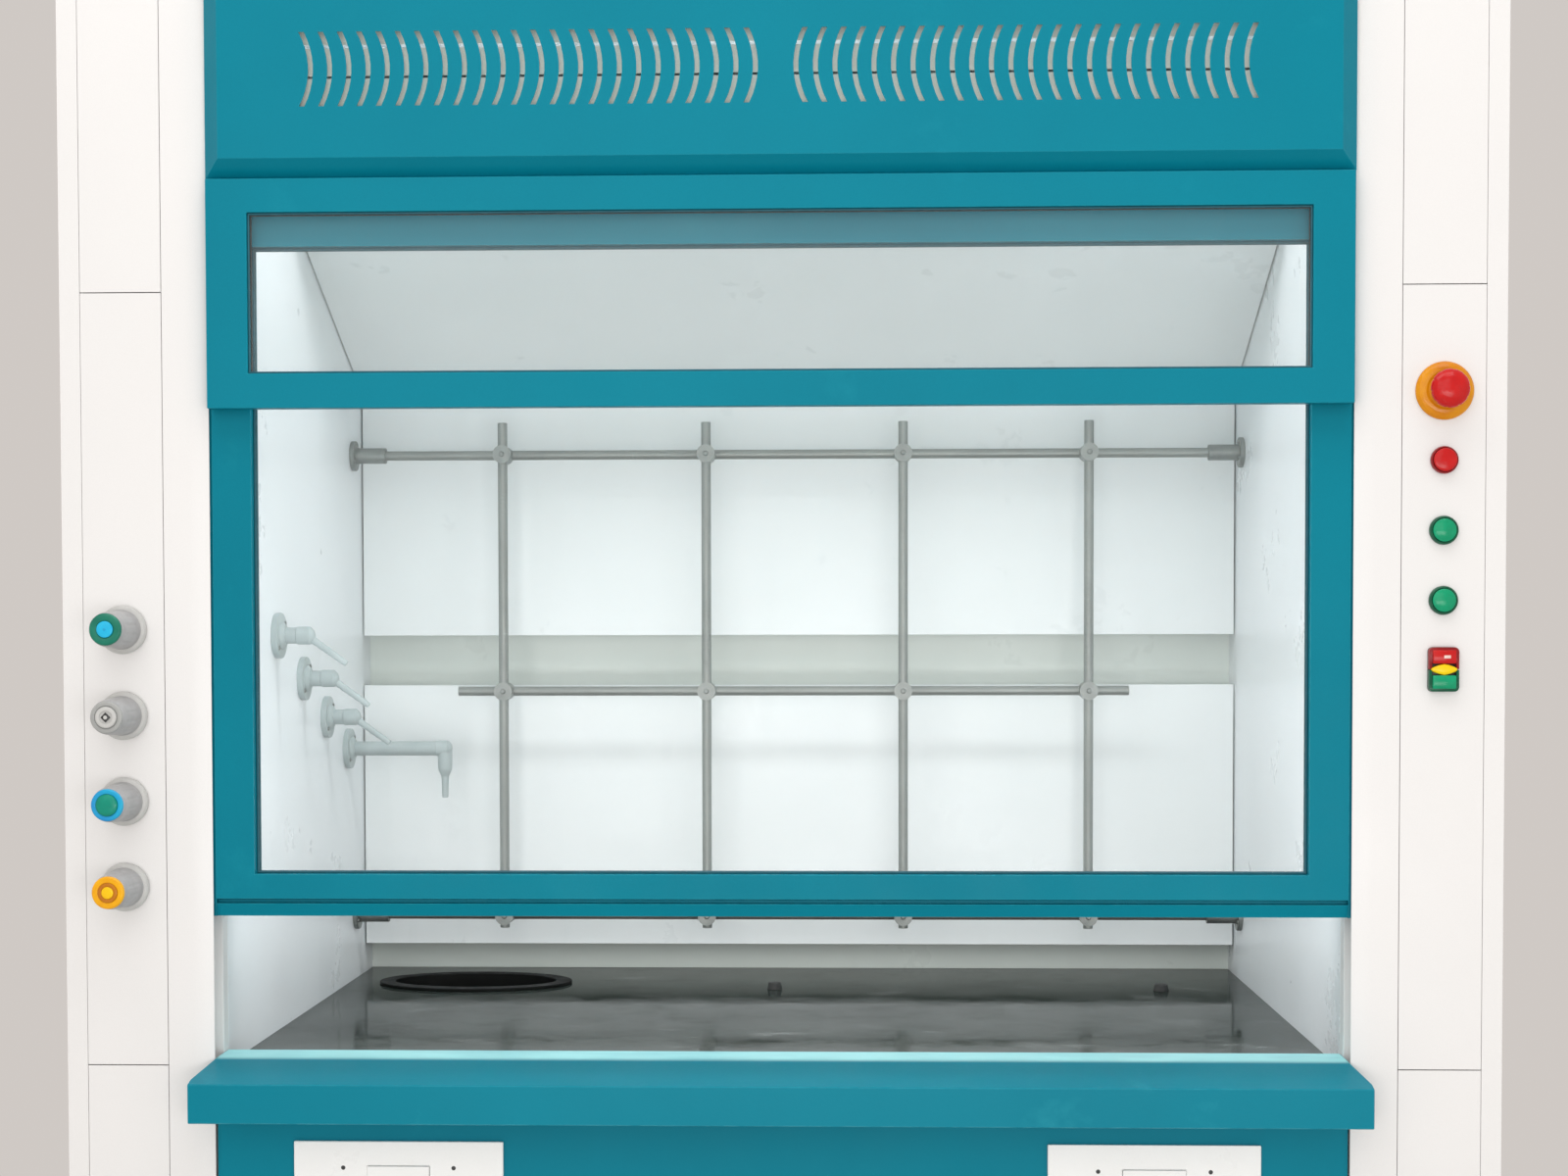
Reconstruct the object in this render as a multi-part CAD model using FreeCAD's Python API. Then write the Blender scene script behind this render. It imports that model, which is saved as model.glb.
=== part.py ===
"""Walk-up bench fume hood, 1500 mm wide, with a counterweighted vertical sash.

Lengths are in millimetres. While it is being drawn, X runs to the right, Y runs
from the front plane of the posts into the hood, and Z runs up from the floor.
save() then moves every piece by Y_SHIFT, so that the stored origin is the centre
of the footprint on the floor.
"""
import FreeCAD
import Part
import math
import os

Vec = FreeCAD.Vector

# ---- driving dimensions -------------------------------------------------
WIDTH = 1500.0
DEPTH = 850.0            # front plane of the posts to the outside of the back panel
BODY_TOP = 2350.0
COLLAR_TOP = 2420.0
SHEET = 1.5              # folded sheet steel
POST_WIDTH = 155.0
KNOB_REACH = 64.0        # furthest thing in front of the posts
FOOT_HEIGHT = 30.0
WORKTOP_TOP = 850.0
WORKTOP_THICK = 30.0
WORKTOP_FRONT = 14.0

HALF = WIDTH / 2
OPENING = HALF - POST_WIDTH          # half of the opening between the posts
Y_SHIFT = -(DEPTH - KNOB_REACH) / 2
PANEL_TOP = BODY_TOP - SHEET         # underside of the roof
CUT = 1.0                # how far a cutting shape reaches past a face

# Posts: a bevelled inner corner, then a track for the sash
CORNER_WIDTH = 22.0
CORNER_DEPTH = 7.0
TRACK_FRONT = 7.0
TRACK_BACK = 41.0
TRACK_BOTTOM = 16.0      # how far the track reaches behind the post's inner edge
POST_DEPTH = 60.0
STRIP_WIDTH = 85.0
STRIP_GAP = 0.5
STRIP_CENTRE = HALF - 22.0 - STRIP_WIDTH / 2
STRIP_LIP = 15.0
STRIP_LEVELS = (60.0, 859.0, 1669.0, 2262.0)

# Valve knobs and their valves, left post
KNOB_LEVELS = (1317.5, 1227.5, 1137.5, 1047.5)
SKIRT_RADIUS = 25.5
SKIRT_FRONT = -8.0
GRIP_RADIUS = 19.75
GRIP_FRONT = -58.0
KNOB_BACK = -1.0         # clear of the cover strip
KNOB_CAP_RADIUS = 14.0
STEM_RADIUS = 5.0
STEM_DEPTH = 20.0        # how far a stem reaches into its valve
RUNNING = 0.05           # radial clearance of a turning or sliding stem

# Switches, right post
ESTOP_LEVEL = 1560.0
STOP_LEVEL = 1489.0
START_LEVELS = (1417.0, 1345.0)
TWIN_LEVEL = 1274.0
STOP_RIM_RADIUS = 14.25
START_RIM_RADIUS = 15.0
RIM_FRONT = -6.0
PLUNGER_RADIUS = 9.0
PLUNGER_END = 9.0
CAP_RADIUS = 12.0
BEZEL_BORE = CAP_RADIUS + 0.1
BARREL_RADIUS = 11.0
BARREL_END = 16.0
CONTACT_END = 46.0
CONTACT_HALF = (15.0, 20.0)
RING_RADIUS = 30.0       # coloured ring behind the emergency stop
RING_FRONT = -3.0
RING_COLLAR = (14.0, -10.0)
HEAD_BACK = -16.3
SPIGOT_FRONT = -26.0
TWIN_HALF = (15.5, 23.0)
TWIN_FRONT = -8.0
TWIN_BUTTON_HALF = 12.0
TWIN_BUTTON_HEIGHT = 14.0
TWIN_OFFSETS = (6.0, -20.0)      # lower edges of the red and the green button
WELL_FLOOR = -1.5
BUTTON_TRAVEL = 3.5
CAP_BACK = WELL_FLOOR - BUTTON_TRAVEL - 0.2

# Header with its curved air slots
HEADER_FACE = -18.0
HEADER_BOTTOM = 1785.5
SLOT_COUNT = 24
SLOT_PITCH = 19.95
SLOT_FIRST = 489.0
SLOT_BOTTOM = 1856.0
SLOT_HEIGHT = 76.0
SLOT_WIDTH = 5.0
SLOT_BOW = 9.5
BACKING_Y = (-7.0, -5.0)
BACKING_HALF = OPENING - 24.0
MITRE_LONG = 1.4         # how far a 45 degree bevel's far edge moves in per unit of inset
MITRE_SHORT = 0.4        # and its near edge
BACKING_LEVELS = ((1810.0, 1886.5), (1889.5, 1917.5), (1921.5, PANEL_TOP))

# Fixed upper window and the sliding sash
WINDOW_Y = (-12.0, 4.0)
WINDOW_OUTER = (592.0, 1547.0, 1784.0)      # half width, bottom, top
WINDOW_INNER = (549.0, 1583.0, 1749.0)
SASH_Y = (8.0, 38.0)
SASH_OUTER = (608.0, 1015.5, 1760.0)
SASH_INNER = (551.7, 1060.0, 1717.0)
WINDOW_GLASS_Y = (-6.5, -1.5)
SASH_GLASS_Y = (20.5, 25.5)
PULL_TOP = 19.0          # finger pull, above the sash's bottom edge
PULL_DEPTH = 9.0
SASH_STEP = 3.0          # thinner edge that runs in the track
SASH_STEP_X = OPENING - 2.0
GLASS_EDGE = 8.0         # how deep a pane sits in its frame

# Chamber
LINER = 6.0
LINER_FRONT = 60.5
LINER_BACK = 805.0       # face of the back liner
CEILING = 2000.0
BAFFLE_Y = 754.0
BAFFLE = 6.0
BAFFLE_HALF = OPENING - 2.0      # leaves a narrow gap at both side walls
MIDDLE_BAFFLE = (1313.0, 1643.0)
LOWER_BAFFLE = (890.0, 1245.0)
BAFFLE_SLOPE = math.radians(24.2)
BAFFLE_FRONT = 345.0     # where the sloping baffle turns straight up
BAFFLE_TOP = 1972.0      # leaves a slot under the ceiling
LAMP_X = (-300.0, 300.0)
LAMP_Y = (150.0, 230.0)
LAMP_HEIGHT = 60.0
LAMP_LAP = 15.0          # how far the housing laps the ceiling round the opening
LAMP_WALL = 2.0
LAMP_TUBE_RADIUS = 13.0

# Counterweight system
CABLE_X = 540.0
CABLE_RADIUS = 1.5
PULLEY_RADIUS = 24.0     # to the cable's centre line
PULLEY_FLANGE = 27.5
WHEEL_HALF = 7.0
GROOVE_HALF = 3.0
PULLEY_Z = 2315.0
WEIGHT_Y = (817.0, 839.0)
WEIGHT_HALF = 560.0
WEIGHT_TOP = 1760.0
AXLE_RADIUS = 6.0
AXLE_PAST_WHEEL = 30.0
BRACKET_OFFSET = 20.0    # bracket's centre, outwards from the cable
BRACKET_THICK = 6.0
BRACKET_HALF = 14.0
GROOVE_CLEARANCE = CABLE_RADIUS + 0.5
FRONT_PULLEY_Y = sum(SASH_Y) / 2 + PULLEY_RADIUS
BACK_PULLEY_Y = sum(WEIGHT_Y) / 2 - PULLEY_RADIUS
STEEL = 7.85e-6          # kg per cubic millimetre
GLASS_DENSITY = 2.5e-6
ALUMINIUM = 2.7e-6

# Lattice for apparatus
ROD_RADIUS = 6.35
BOSS_RADIUS = 12.0       # clamp at a crossing
BOSS_REACH = 10.0        # past the rods' centre lines
ROD_CLEARANCE = 0.05
WALL_DISC = (20.0, 6.0)  # radius and thickness
SLEEVE = (10.5, 46.0)    # radius, and how far it stands off the wall
UPRIGHT_X = (-390.0, -118.0, 144.0, 390.0)
UPRIGHT_Y = 683.0
UPRIGHT_Z = (921.0, 1596.0)
RAIL_Y = 697.0
RAILS = ((-571.0, 571.0, 1554.0), (-453.0, 445.0, 1238.0), (-571.0, 571.0, 937.0))
WALL_RAIL_LEVELS = (1554.0, 937.0)

# Outlets on the left wall: depth and height, three for gas and one for water
GAS_OUTLETS = ((280.0, 1312.0), (403.0, 1260.0), (526.0, 1209.0))
WATER_OUTLET = (651.0, 1163.0)
FLANGE_RADIUS = 26.5
NIPPLE_RADIUS = 5.0
FLANGE_THICK = 7.0
FLANGE_STAND = 12.0
ARM_RADIUS = 9.5
ELBOW_REACH = 24.0
GAS_TAIL = (57.0, 6, 4.8, 3.9)       # length, serrations, root and tip radius
WATER_TAIL = (30.0, 4, 5.2, 4.4)
NOZZLE_TURN = 54.5       # degrees the gas tails lean out from straight down
SERRATION = 0.8
SPOUT_X = -464.0
SPOUT_DROP = 27.0
VALVE_Y = (16.0, 58.0)
VALVE_HALF = 18.0
PIPE_SETBACK = 14.0      # from a valve's back face to its outlet pipe's turn
RISER_SETOUT = 30.0      # from the valves' centre line out to the feed pipes
RISER_RADIUS = 4.0
RISER_FIRST = 5.0        # first feed pipe, behind the valve's front face
RISER_PITCH = 11.0
SERVICE_END = 34.0       # open ends of the feed pipes
FERRULE = 30.0

# Worktop, cup sink and front sill
SINK_X = -425.0
SINK_Y = 655.0
SINK_RIM = (128.0, 80.0)
SINK_BOWL = (112.0, 64.0)
SINK_DEPTH = 150.0
SINK_WALL = 5.0
SINK_RIM_THICK = 4.0
SINK_TAIL = 40.0
SINK_TAIL_RADIUS = 22.0
SINK_DRAIN_RADIUS = 18.0
TRAP_NECK = 20.0
TRAP_BOTTOM = 130.0      # below the sink's tail
TRAP_RADIUS = 34.0
DRAIN_DROP = 45.0
DRAIN_Z = WORKTOP_TOP - SINK_DEPTH - SINK_TAIL - DRAIN_DROP
DRAIN_RADIUS = 20.0
DRAIN_WALL = 3.0
PLUGS = ((-25.0, 607.0), (477.0, 603.0))
PLUG_RADIUS = 7.0
PLUG_HEAD = 9.0
PLUG_SHANK = 20.0
SILL_FRONT = -60.0
SILL_HALF = 606.0
SILL_Z = (809.0, 850.0, 866.0)       # bottom, front edge, top
SILL_BACK = 56.0
SILL_SHEET = 3.0
SILL_RIBS = (-592.0, -200.0, 200.0, 589.0)
FASCIA_Y = 10.0
FASCIA_BOTTOM = 650.0
FASCIA_FOLD = 18.0
SOCKET_X = (-401.0, 392.5)
SOCKET_PLATE = (222.0, 118.0)
SOCKET_TOP = 778.0
PLATE_FRONT = FASCIA_Y - 5.0
INSERT_HALF = 33.0
INSERT_FRONT = FASCIA_Y - 7.0
PIN_SLOT_HALF = 1.2
PIN_SLOT_DEPTH = 6.0
TWO_PIN_X = (-6.5, 6.5)
TWO_PIN_RISE = 16.0
THREE_PIN = ((-8.0, -10.0, 30.0), (8.0, -10.0, -30.0), (0.0, 2.0, 0.0))     # x, rise, lean

# Exhaust collar and damper
COLLAR_RADIUS = 125.0    # spigot above the roof
THROAT_RADIUS = 124.0    # duct below the roof
COLLAR_Y = 500.0
FLANGE_WIDTH = 25.0
DAMPER_Z = 2290.0
DAMPER_RADIUS = 122.0
DAMPER_THICK = 3.0
SHAFT_PAST_COLLAR = (15.0, 40.0)     # at its left and its right end
LEVER_HALF = 8.0
LEVER_LENGTH = 60.0

# Cupboard doors
DOOR_Y = (10.0, 28.0)
DOOR_Z = (96.0, 645.0)
CARCASS_FRONT = 30.0
CUPBOARD_FLOOR = 90.0
CARCASS = 3.0            # floors and walls of the carcass
RAIL_DEPTH = 30.0
PULL_X = (40.0, 200.0)   # from the doors' meeting edge
PULL_BAR_Y = (-16.0, -8.0)
PULL_BAR_DROP = (62.0, 50.0)
PULL_LEG = 8.0
FOOT_RADII = (25.0, 20.0)
FOOT_PAD = 12.0
FOOT_STUD = 8.0


# ---- helpers ------------------------------------------------------------
def block(x, y, z):
    """A box from three (low, high) pairs."""
    corner = Vec(x[0], y[0], z[0])
    return Part.makeBox(x[1] - x[0], y[1] - y[0], z[1] - z[0], corner)


def rod(start, end, radius):
    """A round bar between two points."""
    a = Vec(*start)
    b = Vec(*end)
    return Part.makeCylinder(radius, (b - a).Length, a, b - a)


def cone(start, end, radius_start, radius_end):
    """A tapered round bar between two points."""
    a = Vec(*start)
    b = Vec(*end)
    return Part.makeCone(radius_start, radius_end, (b - a).Length, a, b - a)


def prism(points, direction):
    """A flat outline swept along a straight direction."""
    corners = [Vec(*p) for p in points]
    wire = Part.makePolygon(corners + corners[:1])
    return Part.Face(wire).extrude(Vec(*direction))


def ellipse_bar(x, y, radii, low, high):
    """An upright bar with an oval section."""
    curve = Part.Ellipse(Vec(x, y, low), radii[0], radii[1])
    face = Part.Face(Part.Wire([curve.toShape()]))
    return face.extrude(Vec(0, 0, high - low))


def revolve_y(profile, x, z):
    """A turned piece about an axis along Y, from (depth, radius) points."""
    points = [Vec(x + radius, depth, z) for depth, radius in profile]
    wire = Part.makePolygon(points + points[:1])
    return Part.Face(wire).revolve(Vec(x, 0, z), Vec(0, 1, 0), 360)


def joined(pieces):
    """One solid from pieces that overlap or touch."""
    return pieces[0].fuse(pieces[1:]).removeSplitter()


def mirrored(shape):
    return shape.mirror(Vec(0, 0, 0), Vec(1, 0, 0))


def ring_frame(outer, inner, depth):
    """A rectangular frame; outer and inner are (half width, bottom, top)."""
    frame = block((-outer[0], outer[0]), depth, outer[1:])
    hole_depth = (depth[0] - 1, depth[1] + 1)
    return frame.cut(block((-inner[0], inner[0]), hole_depth, inner[1:]))


def save(name, solids):
    """Write one node, moved to the stored origin."""
    flat = []
    for shape in solids:
        flat.extend(shape.Solids)
    node = flat[0] if len(flat) == 1 else Part.makeCompound(flat)
    node = node.copy()
    node.translate(Vec(0, Y_SHIFT, 0))
    if not node.isValid():
        print("invalid shape:", name)
    node.exportStep("parts/" + name + ".step")


# ---- posts --------------------------------------------------------------
def post():
    """Right-hand front post, folded from sheet, with the sash track in it."""
    low = FOOT_HEIGHT
    high = PANEL_TOP
    inner = OPENING
    deep = OPENING + TRACK_BOTTOM
    bevel = prism(
        [
            (inner + 1, CORNER_DEPTH - SHEET, low),
            (inner + CORNER_WIDTH, 0, low),
            (inner + CORNER_WIDTH, SHEET, low),
            (inner + 2, CORNER_DEPTH, low),
            (inner, CORNER_DEPTH, low),
        ],
        (0, 0, high - low),
    )
    front = block((inner + CORNER_WIDTH, HALF), (0, SHEET), (low, high))
    outer_side = block((HALF - SHEET, HALF), (SHEET, POST_DEPTH), (low, high))
    track_front = block((inner, deep), (TRACK_FRONT - SHEET, TRACK_FRONT), (low, high))
    track_floor = block((deep - SHEET, deep), (TRACK_FRONT, TRACK_BACK), (low, high))
    track_back = block((inner, deep), (TRACK_BACK, TRACK_BACK + SHEET), (low, high))
    reveal = block((inner, inner + SHEET), (TRACK_BACK + SHEET, POST_DEPTH), (low, high))
    body = joined([front, bevel, outer_side, track_front, track_floor, track_back, reveal])
    window = block(
        (STRIP_CENTRE - STRIP_WIDTH / 2 - STRIP_GAP, STRIP_CENTRE + STRIP_WIDTH / 2 + STRIP_GAP),
        (-1, SHEET + 1),
        (STRIP_LEVELS[0] - STRIP_GAP, STRIP_LEVELS[-1] + STRIP_GAP),
    )
    return body.cut(window)


def strip(side, low, high):
    """One removable cover strip: a face with two folded lips."""
    x_low = side * STRIP_CENTRE - STRIP_WIDTH / 2
    x_high = side * STRIP_CENTRE + STRIP_WIDTH / 2
    face = block((x_low, x_high), (0, SHEET), (low, high))
    left_lip = block((x_low, x_low + SHEET), (SHEET, STRIP_LIP), (low, high))
    right_lip = block((x_high - SHEET, x_high), (SHEET, STRIP_LIP), (low, high))
    return joined([face, left_lip, right_lip])


def service_strips():
    pieces = []
    for side in (-1, 1):
        for low, high in zip(STRIP_LEVELS[:-1], STRIP_LEVELS[1:]):
            pieces.append(strip(side, low + STRIP_GAP, high - STRIP_GAP))
    valve_holes = []
    for level in KNOB_LEVELS:
        hole = rod((-STRIP_CENTRE, -1, level), (-STRIP_CENTRE, SHEET + 1, level), STEM_RADIUS + 1)
        valve_holes.append(hole)
    switch_holes = []
    for level in (ESTOP_LEVEL, STOP_LEVEL, TWIN_LEVEL) + START_LEVELS:
        hole = rod((STRIP_CENTRE, -1, level), (STRIP_CENTRE, SHEET + 1, level), BARREL_RADIUS)
        switch_holes.append(hole)
    pieces[1] = pieces[1].cut(valve_holes)
    pieces[4] = pieces[4].cut(switch_holes)
    return pieces


# ---- outer casing -------------------------------------------------------
def side_panel(side):
    x = sorted((side * HALF, side * (HALF - SHEET)))
    return block(x, (POST_DEPTH, DEPTH), (FOOT_HEIGHT, PANEL_TOP))


def back_panel():
    panel = block((-HALF + SHEET, HALF - SHEET), (DEPTH - SHEET, DEPTH), (FOOT_HEIGHT, PANEL_TOP))
    return panel.cut(rod((SINK_X, DEPTH - 10, DRAIN_Z), (SINK_X, DEPTH + 1, DRAIN_Z), DRAIN_RADIUS))


def roof_panel():
    panel = block((-HALF, HALF), (0, DEPTH), (PANEL_TOP, BODY_TOP))
    hole = rod((0, COLLAR_Y, PANEL_TOP - 1), (0, COLLAR_Y, BODY_TOP + 1), THROAT_RADIUS)
    return panel.cut(hole)


def exhaust_collar():
    """Round duct from the chamber ceiling to a roof flange, with the wider spigot above it."""
    seat = BODY_TOP + SHEET
    throat = rod((0, COLLAR_Y, CEILING), (0, COLLAR_Y, seat), THROAT_RADIUS)
    flange = rod((0, COLLAR_Y, BODY_TOP), (0, COLLAR_Y, seat), COLLAR_RADIUS + FLANGE_WIDTH)
    spigot = rod((0, COLLAR_Y, seat), (0, COLLAR_Y, COLLAR_TOP), COLLAR_RADIUS)
    throat_bore = rod((0, COLLAR_Y, CEILING - 1), (0, COLLAR_Y, seat + 1), THROAT_RADIUS - SHEET)
    spigot_bore = rod((0, COLLAR_Y, seat), (0, COLLAR_Y, COLLAR_TOP + 1), COLLAR_RADIUS - SHEET)
    reach = COLLAR_RADIUS + 1
    shaft_hole = rod((-reach, COLLAR_Y, DAMPER_Z), (reach, COLLAR_Y, DAMPER_Z), STEM_RADIUS + RUNNING)
    return joined([throat, flange, spigot]).cut([throat_bore, spigot_bore, shaft_hole])


def damper_blade():
    """Round blade on a cross shaft, shown fully open, with its lever on the right."""
    half = DAMPER_THICK / 2
    blade = rod((0, COLLAR_Y - half, DAMPER_Z), (0, COLLAR_Y + half, DAMPER_Z), DAMPER_RADIUS)
    left = -COLLAR_RADIUS - SHAFT_PAST_COLLAR[0]
    right = COLLAR_RADIUS + SHAFT_PAST_COLLAR[1]
    shaft = rod((left, COLLAR_Y, DAMPER_Z), (right, COLLAR_Y, DAMPER_Z), STEM_RADIUS)
    lever = block(
        (right - 8, right - 4),
        (COLLAR_Y - LEVER_HALF, COLLAR_Y + LEVER_HALF),
        (DAMPER_Z - LEVER_LENGTH, DAMPER_Z + LEVER_HALF),
    )
    return joined([blade, shaft, lever])


# ---- header and fixed window --------------------------------------------
def header_shell(inset):
    """Header form, drawn in from its outside by inset."""
    face = HEADER_FACE + inset
    bottom = HEADER_BOTTOM
    chamfer = -HEADER_FACE
    top = PANEL_TOP + 1
    length = 2 * OPENING + 2
    side_view = prism(
        [
            (-OPENING - 1, 1, bottom + inset * MITRE_LONG),
            (-OPENING - 1, 0, bottom + inset * MITRE_LONG),
            (-OPENING - 1, face, bottom + chamfer + inset * MITRE_SHORT),
            (-OPENING - 1, face, top),
            (-OPENING - 1, 1, top),
        ],
        (length, 0, 0),
    )
    half = OPENING - inset * MITRE_LONG
    half_face = OPENING - chamfer - inset * MITRE_SHORT
    plan = prism(
        [
            (-half, 1, bottom - 1),
            (-half, 0, bottom - 1),
            (-half_face, face, bottom - 1),
            (half_face, face, bottom - 1),
            (half, 0, bottom - 1),
            (half, 1, bottom - 1),
        ],
        (0, 0, top - bottom + 2),
    )
    return side_view.common(plan)


def slot_cutters():
    """Curved slots in two mirrored groups."""
    radius = SLOT_HEIGHT ** 2 / (8 * SLOT_BOW) + SLOT_BOW / 2
    middle = SLOT_BOTTOM + SLOT_HEIGHT / 2
    cutters = []
    for i in range(SLOT_COUNT):
        crest = -SLOT_FIRST + i * SLOT_PITCH + SLOT_BOW
        centre = crest - radius
        front = HEADER_FACE - 1
        back = HEADER_FACE + SHEET + 1
        outside = rod((centre, front, middle), (centre, back, middle), radius + SLOT_WIDTH / 2)
        inside = rod((centre, front, middle), (centre, back, middle), radius - SLOT_WIDTH / 2)
        near = block(
            (crest - SLOT_BOW * 2, crest + SLOT_WIDTH),
            (front, back),
            (SLOT_BOTTOM, SLOT_BOTTOM + SLOT_HEIGHT),
        )
        slot = outside.cut(inside).common(near)
        cutters.append(slot)
        cutters.append(mirrored(slot))
    return cutters


def header_panel():
    shell = header_shell(0).cut(header_shell(SHEET))
    keep = block((-OPENING, OPENING), (HEADER_FACE - 1, 0), (HEADER_BOTTOM - 1, PANEL_TOP))
    return shell.common(keep).cut(slot_cutters())


def header_backing():
    """Three pale plates behind the slots, with open joints between them."""
    return [block((-BACKING_HALF, BACKING_HALF), BACKING_Y, levels) for levels in BACKING_LEVELS]


def glass_pocket(inner, depth):
    """The pane's own space: the frame's opening grown by the glazing depth."""
    half = inner[0] + GLASS_EDGE
    return block((-half, half), depth, (inner[1] - GLASS_EDGE, inner[2] + GLASS_EDGE))


def window_frame():
    frame = ring_frame(WINDOW_OUTER, WINDOW_INNER, WINDOW_Y)
    return frame.cut(glass_pocket(WINDOW_INNER, WINDOW_GLASS_Y))


def window_glass():
    return glass_pocket(WINDOW_INNER, WINDOW_GLASS_Y)


# ---- sash ---------------------------------------------------------------
def sash_frame():
    """Sash frame with stepped edges for the track and a finger pull in the bottom rail."""
    frame = ring_frame(SASH_OUTER, SASH_INNER, SASH_Y)
    front, back = SASH_Y
    low, high = SASH_OUTER[1:]
    cuts = [glass_pocket(SASH_INNER, SASH_GLASS_Y)]
    for side in (-1, 1):
        edge = sorted((side * SASH_STEP_X, side * (SASH_OUTER[0] + CUT)))
        cuts.append(block(edge, (front - CUT, front + SASH_STEP), (low - CUT, high + CUT)))
        cuts.append(block(edge, (back - SASH_STEP, back + CUT), (low - CUT, high + CUT)))
    reach = SASH_STEP_X - 0.5
    pull = prism(
        [
            (-reach, front - 1, low + PULL_TOP),
            (-reach, front + PULL_DEPTH, low + PULL_TOP - 2),
            (-reach, front + PULL_DEPTH, low + PULL_TOP - 5),
            (-reach, front + 2, low + PULL_TOP - 5.5),
            (-reach, front + 6, low - 1),
            (-reach, front - 1, low - 1),
        ],
        (2 * reach, 0, 0),
    )
    cuts.append(pull)
    return frame.cut(cuts)


def sash_glass():
    return glass_pocket(SASH_INNER, SASH_GLASS_Y)


def counterweight(sash_mass):
    """Flat steel plate whose height gives it the sash's mass."""
    width = 2 * WEIGHT_HALF
    thickness = WEIGHT_Y[1] - WEIGHT_Y[0]
    height = sash_mass / (STEEL * width * thickness)
    print("sash mass %.2f kg, counterweight height %.1f mm" % (sash_mass, height))
    return block((-WEIGHT_HALF, WEIGHT_HALF), WEIGHT_Y, (WEIGHT_TOP - height, WEIGHT_TOP))


def pulley(side, centre_y):
    """One grooved wheel, bored for the shaft."""
    x = side * CABLE_X
    offsets = (-WHEEL_HALF, -GROOVE_HALF, GROOVE_HALF, WHEEL_HALF)
    stations = [(x + offset, centre_y, PULLEY_Z) for offset in offsets]
    left_flange = rod(stations[0], stations[1], PULLEY_FLANGE)
    hub = rod(stations[1], stations[2], PULLEY_RADIUS - GROOVE_CLEARANCE)
    right_flange = rod(stations[2], stations[3], PULLEY_FLANGE)
    bore = rod(stations[0], stations[3], AXLE_RADIUS + RUNNING)
    return joined([left_flange, hub, right_flange]).cut(bore)


def pulley_pair(centre_y):
    """The shaft that keeps the sash level, and the two wheels pinned to it."""
    reach = CABLE_X + AXLE_PAST_WHEEL
    shaft = rod((-reach, centre_y, PULLEY_Z), (reach, centre_y, PULLEY_Z), AXLE_RADIUS)
    return [shaft, pulley(-1, centre_y), pulley(1, centre_y)]


def pulley_brackets():
    """Bearing plates that hang from the roof at both ends of both shafts."""
    pieces = []
    for centre_y in (FRONT_PULLEY_Y, BACK_PULLEY_Y):
        for side in (-1, 1):
            x = side * (CABLE_X + BRACKET_OFFSET)
            left = x - BRACKET_THICK / 2
            right = x + BRACKET_THICK / 2
            y = (centre_y - BRACKET_HALF, centre_y + BRACKET_HALF)
            plate = block((left, right), y, (PULLEY_Z - BRACKET_HALF, PANEL_TOP))
            bore_start = (left - CUT, centre_y, PULLEY_Z)
            bore = rod(bore_start, (right + CUT, centre_y, PULLEY_Z), AXLE_RADIUS + RUNNING)
            pieces.append(plate.cut(bore))
    return pieces


def sash_cable(side):
    """Steel cable from the sash, over both pulleys, down to the counterweight."""
    x = side * CABLE_X
    front = FRONT_PULLEY_Y - PULLEY_RADIUS
    back = BACK_PULLEY_Y + PULLEY_RADIUS
    top = PULLEY_Z + PULLEY_RADIUS
    slant = PULLEY_RADIUS * math.sqrt(0.5)
    start = Vec(x, front, SASH_OUTER[2])
    up = Vec(x, front, PULLEY_Z)
    over = Vec(x, FRONT_PULLEY_Y, top)
    along = Vec(x, BACK_PULLEY_Y, top)
    down = Vec(x, back, PULLEY_Z)
    end = Vec(x, back, WEIGHT_TOP)
    front_mid = Vec(x, FRONT_PULLEY_Y - slant, PULLEY_Z + slant)
    back_mid = Vec(x, BACK_PULLEY_Y + slant, PULLEY_Z + slant)
    path = Part.Wire(
        [
            Part.LineSegment(start, up).toShape(),
            Part.Arc(up, front_mid, over).toShape(),
            Part.LineSegment(over, along).toShape(),
            Part.Arc(along, back_mid, down).toShape(),
            Part.LineSegment(down, end).toShape(),
        ]
    )
    section = Part.Wire([Part.Circle(start, Vec(0, 0, 1), CABLE_RADIUS).toShape()])
    return path.makePipeShell([section], True, False)


# ---- chamber ------------------------------------------------------------
def side_liner(side):
    x = sorted((side * OPENING, side * (OPENING + LINER)))
    panel = block(x, (LINER_FRONT, LINER_BACK), (WORKTOP_TOP, CEILING))
    if side > 0:
        return panel
    holes = []
    for y, z in GAS_OUTLETS + (WATER_OUTLET,):
        holes.append(rod((-OPENING - LINER - 1, y, z), (-OPENING + 1, y, z), NIPPLE_RADIUS))
    return panel.cut(holes)


def back_liner():
    half = OPENING + LINER
    return block((-half, half), (LINER_BACK, LINER_BACK + LINER), (WORKTOP_TOP, CEILING))


def ceiling_liner():
    half = OPENING + LINER
    panel = block((-half, half), (LINER_FRONT, LINER_BACK + LINER), (CEILING, CEILING + LINER))
    duct = rod((0, COLLAR_Y, CEILING - 1), (0, COLLAR_Y, CEILING + LINER + 1), THROAT_RADIUS)
    lamp = block(LAMP_X, LAMP_Y, (CEILING - 1, CEILING + LINER + 1))
    return panel.cut([duct, lamp])


def flat_baffle(levels):
    return block((-BAFFLE_HALF, BAFFLE_HALF), (BAFFLE_Y, BAFFLE_Y + BAFFLE), levels)


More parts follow.
